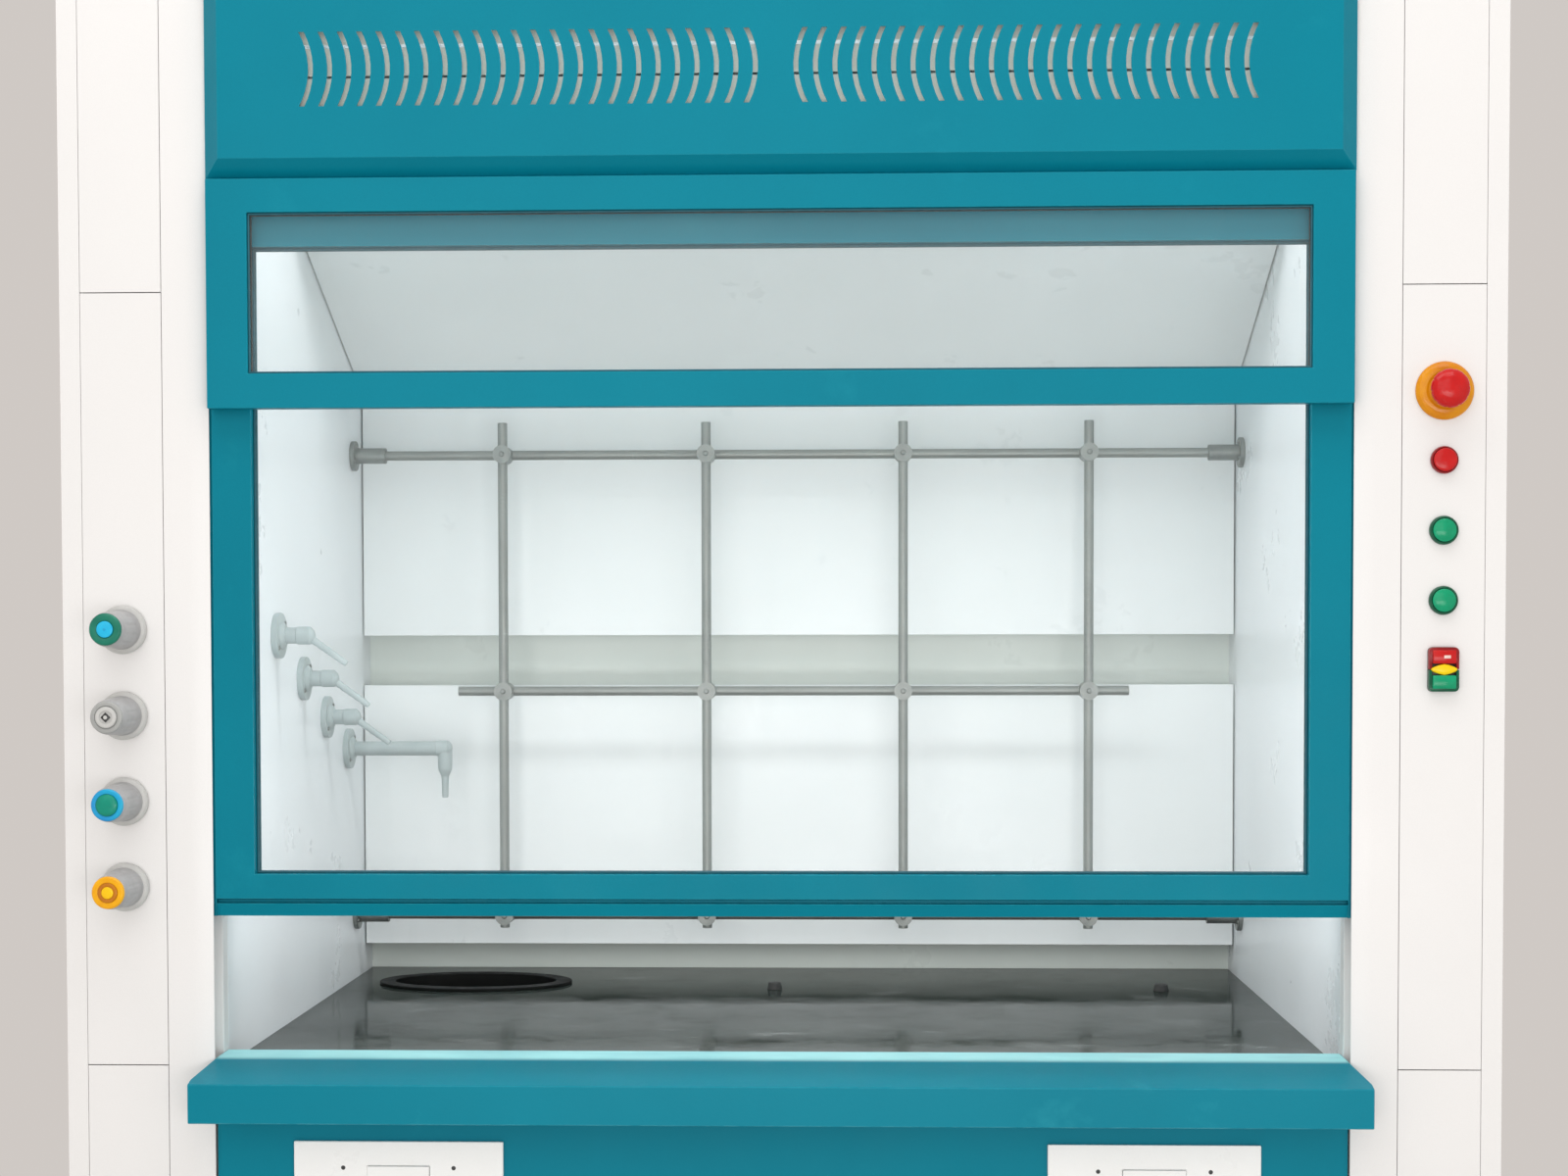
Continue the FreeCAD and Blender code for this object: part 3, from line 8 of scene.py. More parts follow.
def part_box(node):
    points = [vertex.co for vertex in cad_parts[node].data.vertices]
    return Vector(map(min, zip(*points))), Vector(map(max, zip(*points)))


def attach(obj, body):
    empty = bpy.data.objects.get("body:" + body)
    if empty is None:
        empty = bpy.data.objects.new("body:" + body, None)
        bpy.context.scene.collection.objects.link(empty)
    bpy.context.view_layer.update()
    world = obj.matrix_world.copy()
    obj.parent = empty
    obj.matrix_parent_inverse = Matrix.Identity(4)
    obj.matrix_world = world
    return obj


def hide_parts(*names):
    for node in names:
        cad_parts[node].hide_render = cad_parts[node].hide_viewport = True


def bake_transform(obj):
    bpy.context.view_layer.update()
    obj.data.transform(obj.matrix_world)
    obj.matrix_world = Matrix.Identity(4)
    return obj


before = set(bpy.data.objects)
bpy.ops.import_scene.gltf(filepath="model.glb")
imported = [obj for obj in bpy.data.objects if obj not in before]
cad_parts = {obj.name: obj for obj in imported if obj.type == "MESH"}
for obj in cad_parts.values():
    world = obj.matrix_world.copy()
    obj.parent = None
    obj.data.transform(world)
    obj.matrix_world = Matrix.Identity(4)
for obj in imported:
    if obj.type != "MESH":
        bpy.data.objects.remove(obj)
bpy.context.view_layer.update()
MM = 0.001
OUT = (0, -1, 0)        # out of the hood's front
UP = (0, 0, 1)
EVEN = (1, 1, 1)        # a noise that is not stretched


# ---- shader helpers ----
def start_material(name):
    """A material with its one shader, and the object's own coordinates in metres."""
    material = bpy.data.materials.new(name)
    material.use_nodes = True
    tree = material.node_tree
    tree.nodes.clear()
    output = tree.nodes.new("ShaderNodeOutputMaterial")
    shader = tree.nodes.new("ShaderNodeBsdfPrincipled")
    tree.links.new(shader.outputs[0], output.inputs["Surface"])
    place = tree.nodes.new("ShaderNodeTexCoord").outputs["Object"]
    return material, tree, shader, place


def colour4(colour):
    return (colour[0], colour[1], colour[2], 1.0)


def noise(tree, place, scale, detail=4.0, roughness=0.55, stretch=EVEN, shift=(0, 0, 0)):
    """Noise from 0 to 1 with scale features in a metre."""
    mapping = tree.nodes.new("ShaderNodeMapping")
    mapping.inputs["Scale"].default_value = stretch
    mapping.inputs["Location"].default_value = shift
    tree.links.new(place, mapping.inputs["Vector"])
    texture = tree.nodes.new("ShaderNodeTexNoise")
    texture.inputs["Scale"].default_value = scale
    texture.inputs["Detail"].default_value = detail
    texture.inputs["Roughness"].default_value = roughness
    tree.links.new(mapping.outputs[0], texture.inputs["Vector"])
    return texture.outputs[0]


def span(tree, value, from_low, from_high, to_low, to_high):
    """Maps one range to another and stops at its ends."""
    node = tree.nodes.new("ShaderNodeMapRange")
    node.clamp = True
    for socket, number in zip(list(node.inputs)[1:5], (from_low, from_high, to_low, to_high)):
        socket.default_value = number
    tree.links.new(value, node.inputs[0])
    return node.outputs[0]


def blend_colour(tree, amount, first, second, mode="MIX"):
    node = tree.nodes.new("ShaderNodeMix")
    node.data_type = "RGBA"
    node.blend_type = mode
    node.clamp_factor = True
    for socket, value in ((node.inputs[0], amount), (node.inputs[6], first), (node.inputs[7], second)):
        if isinstance(value, bpy.types.NodeSocket):
            tree.links.new(value, socket)
        elif isinstance(value, (int, float)):
            socket.default_value = value
        else:
            socket.default_value = colour4(value)
    return node.outputs[2]


def product(tree, first, second):
    node = tree.nodes.new("ShaderNodeMath")
    node.operation = "MULTIPLY"
    tree.links.new(first, node.inputs[0])
    if isinstance(second, bpy.types.NodeSocket):
        tree.links.new(second, node.inputs[1])
    else:
        node.inputs[1].default_value = second
    return node.outputs[0]


ROUNDED_DOT = (0.86, 0.995)     # the true and the rounded normal's product: at an edge, on an open face


def edge_mask(tree, radius):
    """1 along convex and concave edges, 0 on open faces."""
    rounded = tree.nodes.new("ShaderNodeBevel")
    rounded.samples = 4
    rounded.inputs["Radius"].default_value = radius
    geometry = tree.nodes.new("ShaderNodeNewGeometry")
    dot = tree.nodes.new("ShaderNodeVectorMath")
    dot.operation = "DOT_PRODUCT"
    tree.links.new(rounded.outputs[0], dot.inputs[0])
    tree.links.new(geometry.outputs["Normal"], dot.inputs[1])
    return span(tree, dot.outputs["Value"], *ROUNDED_DOT, 1.0, 0.0)


def add_bumps(tree, shader, place, bumps, stretch=EVEN):
    """bumps: (noise scale, height in metres) pairs from coarse to fine."""
    normal = None
    for scale, height in bumps:
        node = tree.nodes.new("ShaderNodeBump")
        node.inputs["Strength"].default_value = 1.0
        node.inputs["Distance"].default_value = height
        tree.links.new(noise(tree, place, scale, 2.0, 0.5, stretch), node.inputs["Height"])
        if normal is not None:
            tree.links.new(normal, node.inputs["Normal"])
        normal = node.outputs[0]
    tree.links.new(normal, shader.inputs["Normal"])


STAIN_SHIFT, GLOSS_SHIFT = (3.1, 7.7, 1.3), (9.2, 0.4, 5.0)     # so that the noises do not coincide
STAIN_FADE = 0.12
CHIP_SCALE = 60.0               # paler edges, partly wear and partly a painted highlight, come and go this often in a metre
LEVEL_NORMAL = (0.975, 0.998)   # upward part of the normal where the painted top highlight starts and where it is full
TOP_HIGHLIGHT_NOISE = (16.0, 5.0, 0.6, (0.4, 1, 1))


def finish(
    name, colour, second, patch, rough, grain, bumps,
    metallic=0.0, specular=0.5, stain=None, edge=None, top_highlight=None, bump_stretch=EVEN,
):
    """A worked finish: two close colours in patches, fine grain, stains, paler edges (wear and painted
    highlight), uneven gloss and bump.

    rough is (lowest, highest) roughness; grain is (scale, amount); stain is (colour, scale, threshold, amount);
    edge is (colour, radius, amount) for paler edges, partly wear and partly a painted highlight; top_highlight
    is (colour, amount), a painted highlight on the faces that look up, where the light from above falls.
    """
    material, tree, shader, place = start_material(name)
    mottle = span(tree, noise(tree, place, patch, 5.0, 0.6), 0.32, 0.68, 0.0, 1.0)
    shade = blend_colour(tree, mottle, colour, second)
    scale, amount = grain
    fine = span(tree, noise(tree, place, scale, 2.0, 0.5), 0.3, 0.7, 1 - amount, 1 + amount)
    level = tree.nodes.new("ShaderNodeCombineColor")
    for socket in level.inputs:
        tree.links.new(fine, socket)
    shade = blend_colour(tree, 1.0, shade, level.outputs[0], "MULTIPLY")
    if stain:
        tint, scale, threshold, amount = stain
        spots = noise(tree, place, scale, 6.0, 0.65, EVEN, STAIN_SHIFT)
        mask = span(tree, spots, threshold, threshold + STAIN_FADE, 0.0, amount)
        shade = blend_colour(tree, mask, shade, tint)
    # paler edges: partly wear, partly a painted highlight where rounded edges catch the light
    if edge:
        tint, radius, amount = edge
        worn = span(tree, noise(tree, place, CHIP_SCALE, 4.0, 0.6), 0.35, 0.6, 0.25, 1.0)
        mask = product(tree, product(tree, edge_mask(tree, radius), worn), amount)
        shade = blend_colour(tree, mask, shade, tint)
    # painted highlight: faces that look up are made lighter, as where the light from above falls
    if top_highlight:
        tint, amount = top_highlight
        facing = tree.nodes.new("ShaderNodeSeparateXYZ")
        tree.links.new(tree.nodes.new("ShaderNodeNewGeometry").outputs["Normal"], facing.inputs[0])
        lightened = span(tree, facing.outputs["Z"], *LEVEL_NORMAL, 0.0, amount)
        uneven = span(tree, noise(tree, place, *TOP_HIGHLIGHT_NOISE), 0.3, 0.6, 0.7, 1.0)
        shade = blend_colour(tree, product(tree, lightened, uneven), shade, tint)
    tree.links.new(shade, shader.inputs["Base Color"])
    gloss = noise(tree, place, patch * 2.3 + 5.0, 6.0, 0.62, EVEN, GLOSS_SHIFT)
    tree.links.new(span(tree, gloss, 0.3, 0.7, *rough), shader.inputs["Roughness"])
    shader.inputs["Metallic"].default_value = metallic
    shader.inputs["Specular IOR Level"].default_value = specular
    add_bumps(tree, shader, place, bumps, bump_stretch)
    return material


def galvanised_finish():
    """Zinc spangle: cells of slightly different grey and gloss."""
    material, tree, shader, place = start_material("galvanised_sheet")
    cells = tree.nodes.new("ShaderNodeTexVoronoi")
    cells.inputs["Scale"].default_value = 75.0
    tree.links.new(place, cells.inputs["Vector"])
    tone = tree.nodes.new("ShaderNodeRGBToBW")
    tree.links.new(cells.outputs["Color"], tone.inputs[0])
    dust = span(tree, noise(tree, place, 5.0, 5.0, 0.6), 0.4, 0.7, 0.0, 0.35)
    dark_zinc, pale_zinc, dust_colour = (0.42, 0.44, 0.45), (0.62, 0.64, 0.65), (0.50, 0.49, 0.46)
    shade = blend_colour(tree, tone.outputs[0], dark_zinc, pale_zinc)
    shade = blend_colour(tree, dust, shade, dust_colour)
    tree.links.new(shade, shader.inputs["Base Color"])
    tree.links.new(span(tree, tone.outputs[0], 0.0, 1.0, 0.34, 0.55), shader.inputs["Roughness"])
    shader.inputs["Metallic"].default_value = 0.85
    add_bumps(tree, shader, place, ((70.0, 0.00006),))
    return material


def glass_finish(name, tint, alpha):
    """Clear pane: light passes straight through, with faint wiping marks in its gloss."""
    material, tree, shader, place = start_material(name)
    wipe = noise(tree, place, 9.0, 5.0, 0.6, (1, 1, 2.5))
    shade = blend_colour(tree, span(tree, wipe, 0.35, 0.65, 0.0, 1.0), tint, [c * 0.93 for c in tint])
    tree.links.new(shade, shader.inputs["Base Color"])
    tree.links.new(span(tree, wipe, 0.4, 0.75, 0.02, 0.10), shader.inputs["Roughness"])
    shader.inputs["Alpha"].default_value = alpha
    shader.inputs["IOR"].default_value = 1.5
    return material


def lamp_finish():
    """White tube that glows a little."""
    material, tree, shader, place = start_material("fluorescent_tube")
    glow = span(tree, noise(tree, place, 14.0), 0.3, 0.7, 0.0, 1.0)
    shade = blend_colour(tree, glow, (0.93, 0.95, 0.94), (0.86, 0.90, 0.90))
    tree.links.new(shade, shader.inputs["Base Color"])
    shader.inputs["Emission Color"].default_value = (0.93, 0.98, 1.0, 1.0)
    shader.inputs["Emission Strength"].default_value = 3.0
    shader.inputs["Roughness"].default_value = 0.3
    add_bumps(tree, shader, place, ((300.0, 0.00003),))
    return material


def worktop_finish():
    """Black-grey epoxy: glossy, paler at the front where arms rub it, with grit, haze and fine scratches."""
    material, tree, shader, place = start_material("epoxy_worktop")
    cloud = span(tree, noise(tree, place, 6.0, 6.0, 0.65), 0.35, 0.7, 0.0, 1.0)
    dark_epoxy, epoxy_grey, rubbed_grey = (0.018, 0.024, 0.021), (0.038, 0.047, 0.042), (0.125, 0.140, 0.135)
    grit_grey, haze_grey, scratch_grey = (0.16, 0.17, 0.165), (0.30, 0.315, 0.31), (0.28, 0.29, 0.28)
    rubbed_from, rubbed_to = -0.36, -0.16       # row frame's y, in metres
    shade = blend_colour(tree, cloud, dark_epoxy, epoxy_grey)
    depth = tree.nodes.new("ShaderNodeSeparateXYZ")
    tree.links.new(place, depth.inputs[0])
    worn = span(tree, depth.outputs["Y"], rubbed_from, rubbed_to, 0.45, 0.0)
    shade = blend_colour(tree, worn, shade, rubbed_grey)
    grit = noise(tree, place, 420.0, 2.0, 0.6)
    shade = blend_colour(tree, span(tree, grit, 0.62, 0.72, 0.0, 0.3), shade, grit_grey)
    cloudy = noise(tree, place, 11.0, 7.0, 0.7, (1, 1.6, 1), (4.0, 1.0, 0.0))
    shade = blend_colour(tree, span(tree, cloudy, 0.58, 0.72, 0.0, 0.30), shade, haze_grey)
    scratch = noise(tree, place, 30.0, 3.0, 0.5, (1.0, 22.0, 1.0))
    shade = blend_colour(tree, span(tree, scratch, 0.66, 0.69, 0.0, 0.25), shade, scratch_grey)
    tree.links.new(shade, shader.inputs["Base Color"])
    gloss = noise(tree, place, 17.0, 6.0, 0.65, EVEN, (2.0, 5.0, 0.0))
    tree.links.new(span(tree, gloss, 0.35, 0.75, 0.04, 0.20), shader.inputs["Roughness"])
    shader.inputs["Specular IOR Level"].default_value = 0.05
    add_bumps(tree, shader, place, ((14.0, 0.00008), (500.0, 0.000008)))
    return material


def liner_finish(name, colour, second, streak):
    """White laminate with faint run marks that hang down the wall, and small dots."""
    run_grey, dot_grey = (0.60, 0.655, 0.635), (0.55, 0.57, 0.53)
    material, tree, shader, place = start_material(name)
    mottle = span(tree, noise(tree, place, 2.6, 5.0, 0.6), 0.3, 0.7, 0.0, 1.0)
    shade = blend_colour(tree, mottle, colour, second)
    runs = noise(tree, place, 22.0, 5.0, 0.6, (1.0, 1.0, 0.09), (0.3, 2.0, 0.0))
    shade = blend_colour(tree, span(tree, runs, 0.58, 0.74, 0.0, streak), shade, run_grey)
    dots = noise(tree, place, 130.0, 3.0, 0.6, EVEN, (6.0, 6.0, 2.0))
    shade = blend_colour(tree, span(tree, dots, 0.745, 0.79, 0.0, 0.05), shade, dot_grey)
    tree.links.new(shade, shader.inputs["Base Color"])
    gloss = noise(tree, place, 8.0, 6.0, 0.65)
    tree.links.new(span(tree, gloss, 0.3, 0.7, 0.24, 0.42), shader.inputs["Roughness"])
    add_bumps(tree, shader, place, ((26.0, 0.00004), (520.0, 0.00001)))
    return material


def cap_finish(name, colour, second, patch=60.0):
    """Glossy moulded plastic, paler where its edges are worn by rubbing."""
    lightened = [min(1, channel * 1.5 + 0.03) for channel in colour]
    return finish(
        name, colour, second, patch=patch, rough=(0.13, 0.24), grain=(2500.0, 0.06),
        bumps=((1800.0, 0.00002),), specular=0.30, edge=(lightened, 0.0006, 0.4),
    )


PEEL = ((230.0, 0.00007), (900.0, 0.00003))     # the orange peel of powder coat
# the white coat's paler edges are partly a painted highlight
white_coat = finish(
    "white_powder_coat", (0.815, 0.812, 0.805), (0.79, 0.787, 0.780), patch=1.7, rough=(0.34, 0.46),
    grain=(1400.0, 0.02), stain=((0.72, 0.69, 0.63), 7.0, 0.66, 0.10),
    edge=((0.93, 0.925, 0.91), 0.0012, 0.6), bumps=PEEL,
)
# the teal coat's paler edges are partly a painted highlight, such as the line along the window frame's top
teal_coat = finish(
    "teal_powder_coat", (0.0008, 0.223, 0.309), (0.0008, 0.199, 0.279), patch=2.2, rough=(0.34, 0.48),
    grain=(1300.0, 0.04), stain=((0.01, 0.29, 0.38), 9.0, 0.62, 0.22),
    edge=((0.05, 0.40, 0.49), 0.0014, 0.7), bumps=PEEL, specular=0.10,
)
# the sill's paler edges are partly a painted highlight line
sill_coat = finish(
    "sill_powder_coat", (0.0008, 0.222, 0.308), (0.0008, 0.200, 0.280), patch=3.0, rough=(0.28, 0.42),
    grain=(1300.0, 0.04), stain=((0.02, 0.32, 0.40), 11.0, 0.60, 0.35),
    edge=((0.16, 0.52, 0.60), 0.0018, 0.85), bumps=PEEL, specular=0.12,
    # painted highlight on the sill's upward faces
    top_highlight=((0.42, 0.86, 0.88), 0.85),
)
# the sash's paler edges are partly a painted highlight
teal_aluminium = finish(
    "teal_coated_aluminium", (0.0008, 0.214, 0.294), (0.0008, 0.190, 0.266), patch=2.8,
    rough=(0.32, 0.45), grain=(1300.0, 0.04), stain=((0.01, 0.29, 0.37), 12.0, 0.63, 0.22),
    edge=((0.06, 0.42, 0.51), 0.0012, 0.75), bumps=PEEL, specular=0.08,
)
wall_liner = liner_finish("white_laminate", (0.83, 0.865, 0.885), (0.79, 0.835, 0.855), 0.05)
baffle_liner = liner_finish("baffle_laminate", (0.80, 0.835, 0.84), (0.76, 0.80, 0.80), 0.12)
# the rear laminate's darker, greener colour is painted shade, for the shadow behind the baffles
shaded_rear_liner = liner_finish("rear_laminate", (0.70, 0.76, 0.715), (0.66, 0.72, 0.675), 0.10)
cream_board = finish(
    "cream_board", (0.97, 0.965, 0.87), (0.92, 0.915, 0.81), patch=14.0, rough=(0.5, 0.65),
    grain=(700.0, 0.05), stain=((0.42, 0.39, 0.31), 30.0, 0.66, 0.45), bumps=((300.0, 0.00006),),
)
epoxy = worktop_finish()
black_pp = finish(
    "black_polypropylene", (0.0035, 0.0040, 0.0038), (0.0065, 0.0070, 0.0066), patch=18.0,
    rough=(0.45, 0.62), grain=(900.0, 0.12), stain=((0.03, 0.03, 0.028), 24.0, 0.66, 0.3),
    edge=((0.02, 0.02, 0.02), 0.0012, 0.5), bumps=((500.0, 0.00006),), specular=0.15,
)
grey_pp = finish(
    "blue_grey_nylon", (0.40, 0.462, 0.465), (0.335, 0.395, 0.398), patch=30.0, rough=(0.30, 0.44),
    grain=(1500.0, 0.04), stain=((0.55, 0.60, 0.60), 35.0, 0.62, 0.25),
    edge=((0.60, 0.68, 0.71), 0.0008, 0.5), bumps=((900.0, 0.00004),),
)
brushed_steel = finish(
    "brushed_steel", (0.35, 0.37, 0.35), (0.29, 0.305, 0.29), patch=9.0, rough=(0.42, 0.56),
    metallic=0.75, grain=(600.0, 0.08), stain=((0.25, 0.25, 0.22), 26.0, 0.62, 0.25),
    bumps=((700.0, 0.00003),), bump_stretch=(1, 1, 0.15),
)
cast_steel = finish(
    "clamp_steel", (0.33, 0.35, 0.335), (0.26, 0.275, 0.265), patch=55.0, rough=(0.40, 0.55),
    metallic=0.8, grain=(900.0, 0.10), stain=((0.20, 0.19, 0.17), 50.0, 0.6, 0.35),
    edge=((0.50, 0.51, 0.50), 0.0007, 0.5), bumps=((350.0, 0.00009),),
)
wire_steel = finish(
    "wire_rope", (0.34, 0.35, 0.35), (0.22, 0.23, 0.23), patch=80.0, rough=(0.32, 0.5), metallic=1.0,
    grain=(1800.0, 0.15), bumps=((900.0, 0.00005),),
)
galvanised = galvanised_finish()
primed_steel = finish(
    "primed_steel", (0.055, 0.056, 0.06), (0.085, 0.083, 0.082), patch=7.0, rough=(0.5, 0.7),
    grain=(500.0, 0.15), stain=((0.20, 0.10, 0.05), 12.0, 0.66, 0.5),
    edge=((0.26, 0.25, 0.24), 0.0016, 0.7), bumps=((160.0, 0.00016),),
)
brass = finish(
    "machined_brass", (0.62, 0.43, 0.16), (0.50, 0.33, 0.12), patch=40.0, rough=(0.26, 0.42),
    metallic=1.0, grain=(800.0, 0.08), stain=((0.25, 0.16, 0.07), 45.0, 0.6, 0.5),
    bumps=((600.0, 0.00004),),
)
black_rubber = finish(
    "black_rubber", (0.020, 0.021, 0.021), (0.040, 0.041, 0.040), patch=45.0, rough=(0.55, 0.75),
    grain=(1500.0, 0.2), stain=((0.16, 0.155, 0.145), 25.0, 0.62, 0.3), bumps=((700.0, 0.00006),),
)
# the seals' dark teal is painted shade: the frame paint's colour in shadow
shaded_teal_seal = finish(
    "shaded_teal_seal", (0.012, 0.125, 0.165), (0.008, 0.100, 0.135), patch=45.0, rough=(0.5, 0.7),
    grain=(1500.0, 0.12), bumps=((700.0, 0.00005),),
)
grey_pipe = finish(
    "grey_waste_pipe", (0.42, 0.43, 0.44), (0.36, 0.37, 0.38), patch=14.0, rough=(0.30, 0.45),
    grain=(1200.0, 0.05), stain=((0.28, 0.26, 0.22), 18.0, 0.64, 0.3), bumps=((400.0, 0.00005),),
)
plate_white = finish(
    "socket_white", (0.955, 0.96, 0.95), (0.93, 0.935, 0.92), patch=12.0, rough=(0.25, 0.38),
    grain=(1800.0, 0.02), stain=((0.66, 0.62, 0.54), 26.0, 0.66, 0.25),
    edge=((0.96, 0.96, 0.95), 0.001, 0.5), bumps=((1100.0, 0.00003),),
)
dark_plastic = finish(
    "dark_moulded_plastic", (0.018, 0.020, 0.020), (0.032, 0.034, 0.034), patch=60.0,
    rough=(0.32, 0.48), grain=(1800.0, 0.12), edge=((0.10, 0.105, 0.105), 0.0007, 0.6),
    bumps=((1200.0, 0.00004),),
)
skirt_grey = finish(
    "skirt_grey", (0.56, 0.565, 0.55), (0.50, 0.505, 0.49), patch=50.0, rough=(0.34, 0.48),
    grain=(1800.0, 0.05), edge=((0.66, 0.67, 0.66), 0.0008, 0.5), bumps=((1000.0, 0.00004),),
)
grip_grey = finish(
    "grip_grey", (0.43, 0.43, 0.435), (0.36, 0.36, 0.365), patch=50.0, rough=(0.36, 0.52),
    grain=(1800.0, 0.07), edge=((0.52, 0.53, 0.52), 0.0008, 0.5), bumps=((900.0, 0.00005),),
)
cap_green = cap_finish("cap_dark_green", (0.012, 0.20, 0.13), (0.006, 0.15, 0.10))
cap_cyan = cap_finish("cap_cyan", (0.02, 0.50, 0.78), (0.01, 0.42, 0.72))
cap_grey = cap_finish("cap_grey", (0.40, 0.41, 0.40), (0.33, 0.34, 0.335))
cap_blue = cap_finish("cap_blue", (0.02, 0.24, 0.62), (0.01, 0.46, 0.66), 26.0)
cap_mint = cap_finish("cap_mint", (0.005, 0.30, 0.20), (0.004, 0.23, 0.16))
cap_yellow = cap_finish("cap_yellow", (0.90, 0.47, 0.006), (0.82, 0.36, 0.006))
cap_orange = cap_finish("cap_orange", (0.56, 0.20, 0.012), (0.48, 0.16, 0.012))
cap_bright = cap_finish("cap_bright_yellow", (0.93, 0.62, 0.006), (0.90, 0.52, 0.006))
ring_orange = cap_finish("estop_ring", (0.78, 0.34, 0.006), (0.62, 0.19, 0.005), 26.0)
signal_red = cap_finish("signal_red", (0.60, 0.011, 0.010), (0.50, 0.008, 0.009))
rim_red = cap_finish("rim_red", (0.30, 0.012, 0.014), (0.22, 0.010, 0.012))
signal_green = cap_finish("signal_green", (0.004, 0.36, 0.17), (0.003, 0.28, 0.13))
rim_green = cap_finish("rim_green", (0.006, 0.105, 0.052), (0.004, 0.075, 0.040))
lens_yellow = cap_finish("lens_yellow", (0.92, 0.68, 0.004), (0.86, 0.56, 0.004))
mark_pale = cap_finish("pale_mark", (0.84, 0.66, 0.60), (0.76, 0.56, 0.50))
window_glass = glass_finish("clear_glass", (0.72, 0.80, 0.79), 0.05)
lamp_glass = glass_finish("lamp_cover_glass", (0.88, 0.92, 0.92), 0.30)
lamp_tube = lamp_finish()


# ---- mesh helpers ----
def point(x, y, z):
    """A place in metres from millimetres in the row frame."""
    return Vector((x, y, z)) * MM


def middle(node):
    low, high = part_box(node)
    return (low + high) / 2


def soften(profile, radius, steps=3):
    """Rounds the inner corners of a (distance, radius) line."""
    points = [Vector(p) for p in profile]
    result = [points[0]]
    for before, corner, after in zip(points, points[1:], points[2:]):
        back, ahead = before - corner, after - corner
        cut = min(radius, back.length * 0.45, ahead.length * 0.45)
        first = corner + back.normalized() * cut
        last = corner + ahead.normalized() * cut
        for i in range(steps + 1):
            t = i / steps
            result.append(first * (1 - t) ** 2 + corner * 2 * t * (1 - t) + last * t * t)
    result.append(points[-1])
    return [(p.x, p.y) for p in result]


def lathe(bm, profile, origin, axis, segments=48, lobes=None):
    """Turns a (distance along, radius) line in millimetres about an axis through origin.

    lobes(angle, along) gives how far the surface is cut in there.
    """
    axis = Vector(axis).normalized()
    side = axis.orthogonal().normalized()
    other = axis.cross(side)
    rings = []
    for along, radius in profile:
        base = origin + axis * along * MM
        if radius < 1e-6:
            rings.append([bm.verts.new(base)])
            continue
        ring = []
        for i in range(segments):
            angle = 2 * pi * i / segments
            reach = radius - (lobes(angle, along) if lobes else 0)
            direction = side * cos(angle) + other * sin(angle)
            ring.append(bm.verts.new(base + direction * reach * MM))
        rings.append(ring)
    for first, second in zip(rings, rings[1:]):
        for i in range(segments):
            j = (i + 1) % segments
            a, b = len(first), len(second)
            unique = []
            for corner in (first[i % a], first[j % a], second[j % b], second[i % b]):
                if corner not in unique:
                    unique.append(corner)
            if len(unique) > 2:
                bm.faces.new(unique)
    return rings


def round_edges(bm, edges, width, steps):
    bmesh.ops.bevel(bm, geom=edges, offset=width, segments=steps, profile=0.5, affect="EDGES")


def box(bm, low, high, round_by, steps=3):
    """A block between two corners in metres, with rounded edges."""
    low, high = Vector(low), Vector(high)
    made = bmesh.ops.create_cube(bm, size=1.0)["verts"]
    size, half = high - low, Vector((0.5, 0.5, 0.5))
    for vert in made:
        vert.co = low + size * (vert.co + half)
    round_edges(bm, list({e for v in made for e in v.link_edges}), round_by, steps)


def slab(bm, outline, front, back, round_by):
    """Extrudes an outline of (x, z) points in metres from y = front to y = back, and rounds its front."""
    face_a = [bm.verts.new((x, front, z)) for x, z in outline]
    face_b = [bm.verts.new((x, back, z)) for x, z in outline]
    cap = bm.faces.new(face_a)
    bm.faces.new(list(reversed(face_b)))
    for i in range(len(outline)):
        j = (i + 1) % len(outline)
        bm.faces.new([face_a[j], face_a[i], face_b[i], face_b[j]])
    round_edges(bm, list(cap.edges), round_by, 2)


def rounded_outline(x, z, half_x, half_z, radius, steps=5):
    """The (x, z) points of a rectangle with round corners."""
    points = []
    for cx, cz, start in ((1, 1, 0), (-1, 1, 90), (-1, -1, 180), (1, -1, 270)):
        for i in range(steps + 1):
            angle = radians(start + 90 * i / steps)
            points.append((
                x + cx * (half_x - radius) + radius * cos(angle),
                z + cz * (half_z - radius) + radius * sin(angle),
            ))
    return points


def frame_ring(bm, half, bottom, top, width, front, back, round_by):
    """A rectangular bead: outer edge at +-half, bottom and top, and width thick inwards."""
    outer = [(-half, bottom), (half, bottom), (half, top), (-half, top)]
    inner = [(-half + width, bottom + width), (half - width, bottom + width),
             (half - width, top - width), (-half + width, top - width)]
    loops = []
    for outline, y in ((outer, front), (inner, front), (inner, back), (outer, back)):
        loops.append([bm.verts.new((x, y, z)) for x, z in outline])
    for k in range(4):
        a, b = loops[k], loops[(k + 1) % 4]
        for i in range(4):
            j = (i + 1) % 4
            bm.faces.new([a[i], a[j], b[j], b[i]])
    edges = [e for e in bm.edges if e.calc_length() > width * 1.5]      # the long ones
    round_edges(bm, edges, round_by, 2)


STRANDS, LAY, LAY_DEPTH = 6, 0.020, 0.20    # strands, metres in a turn, groove as a part of the radius


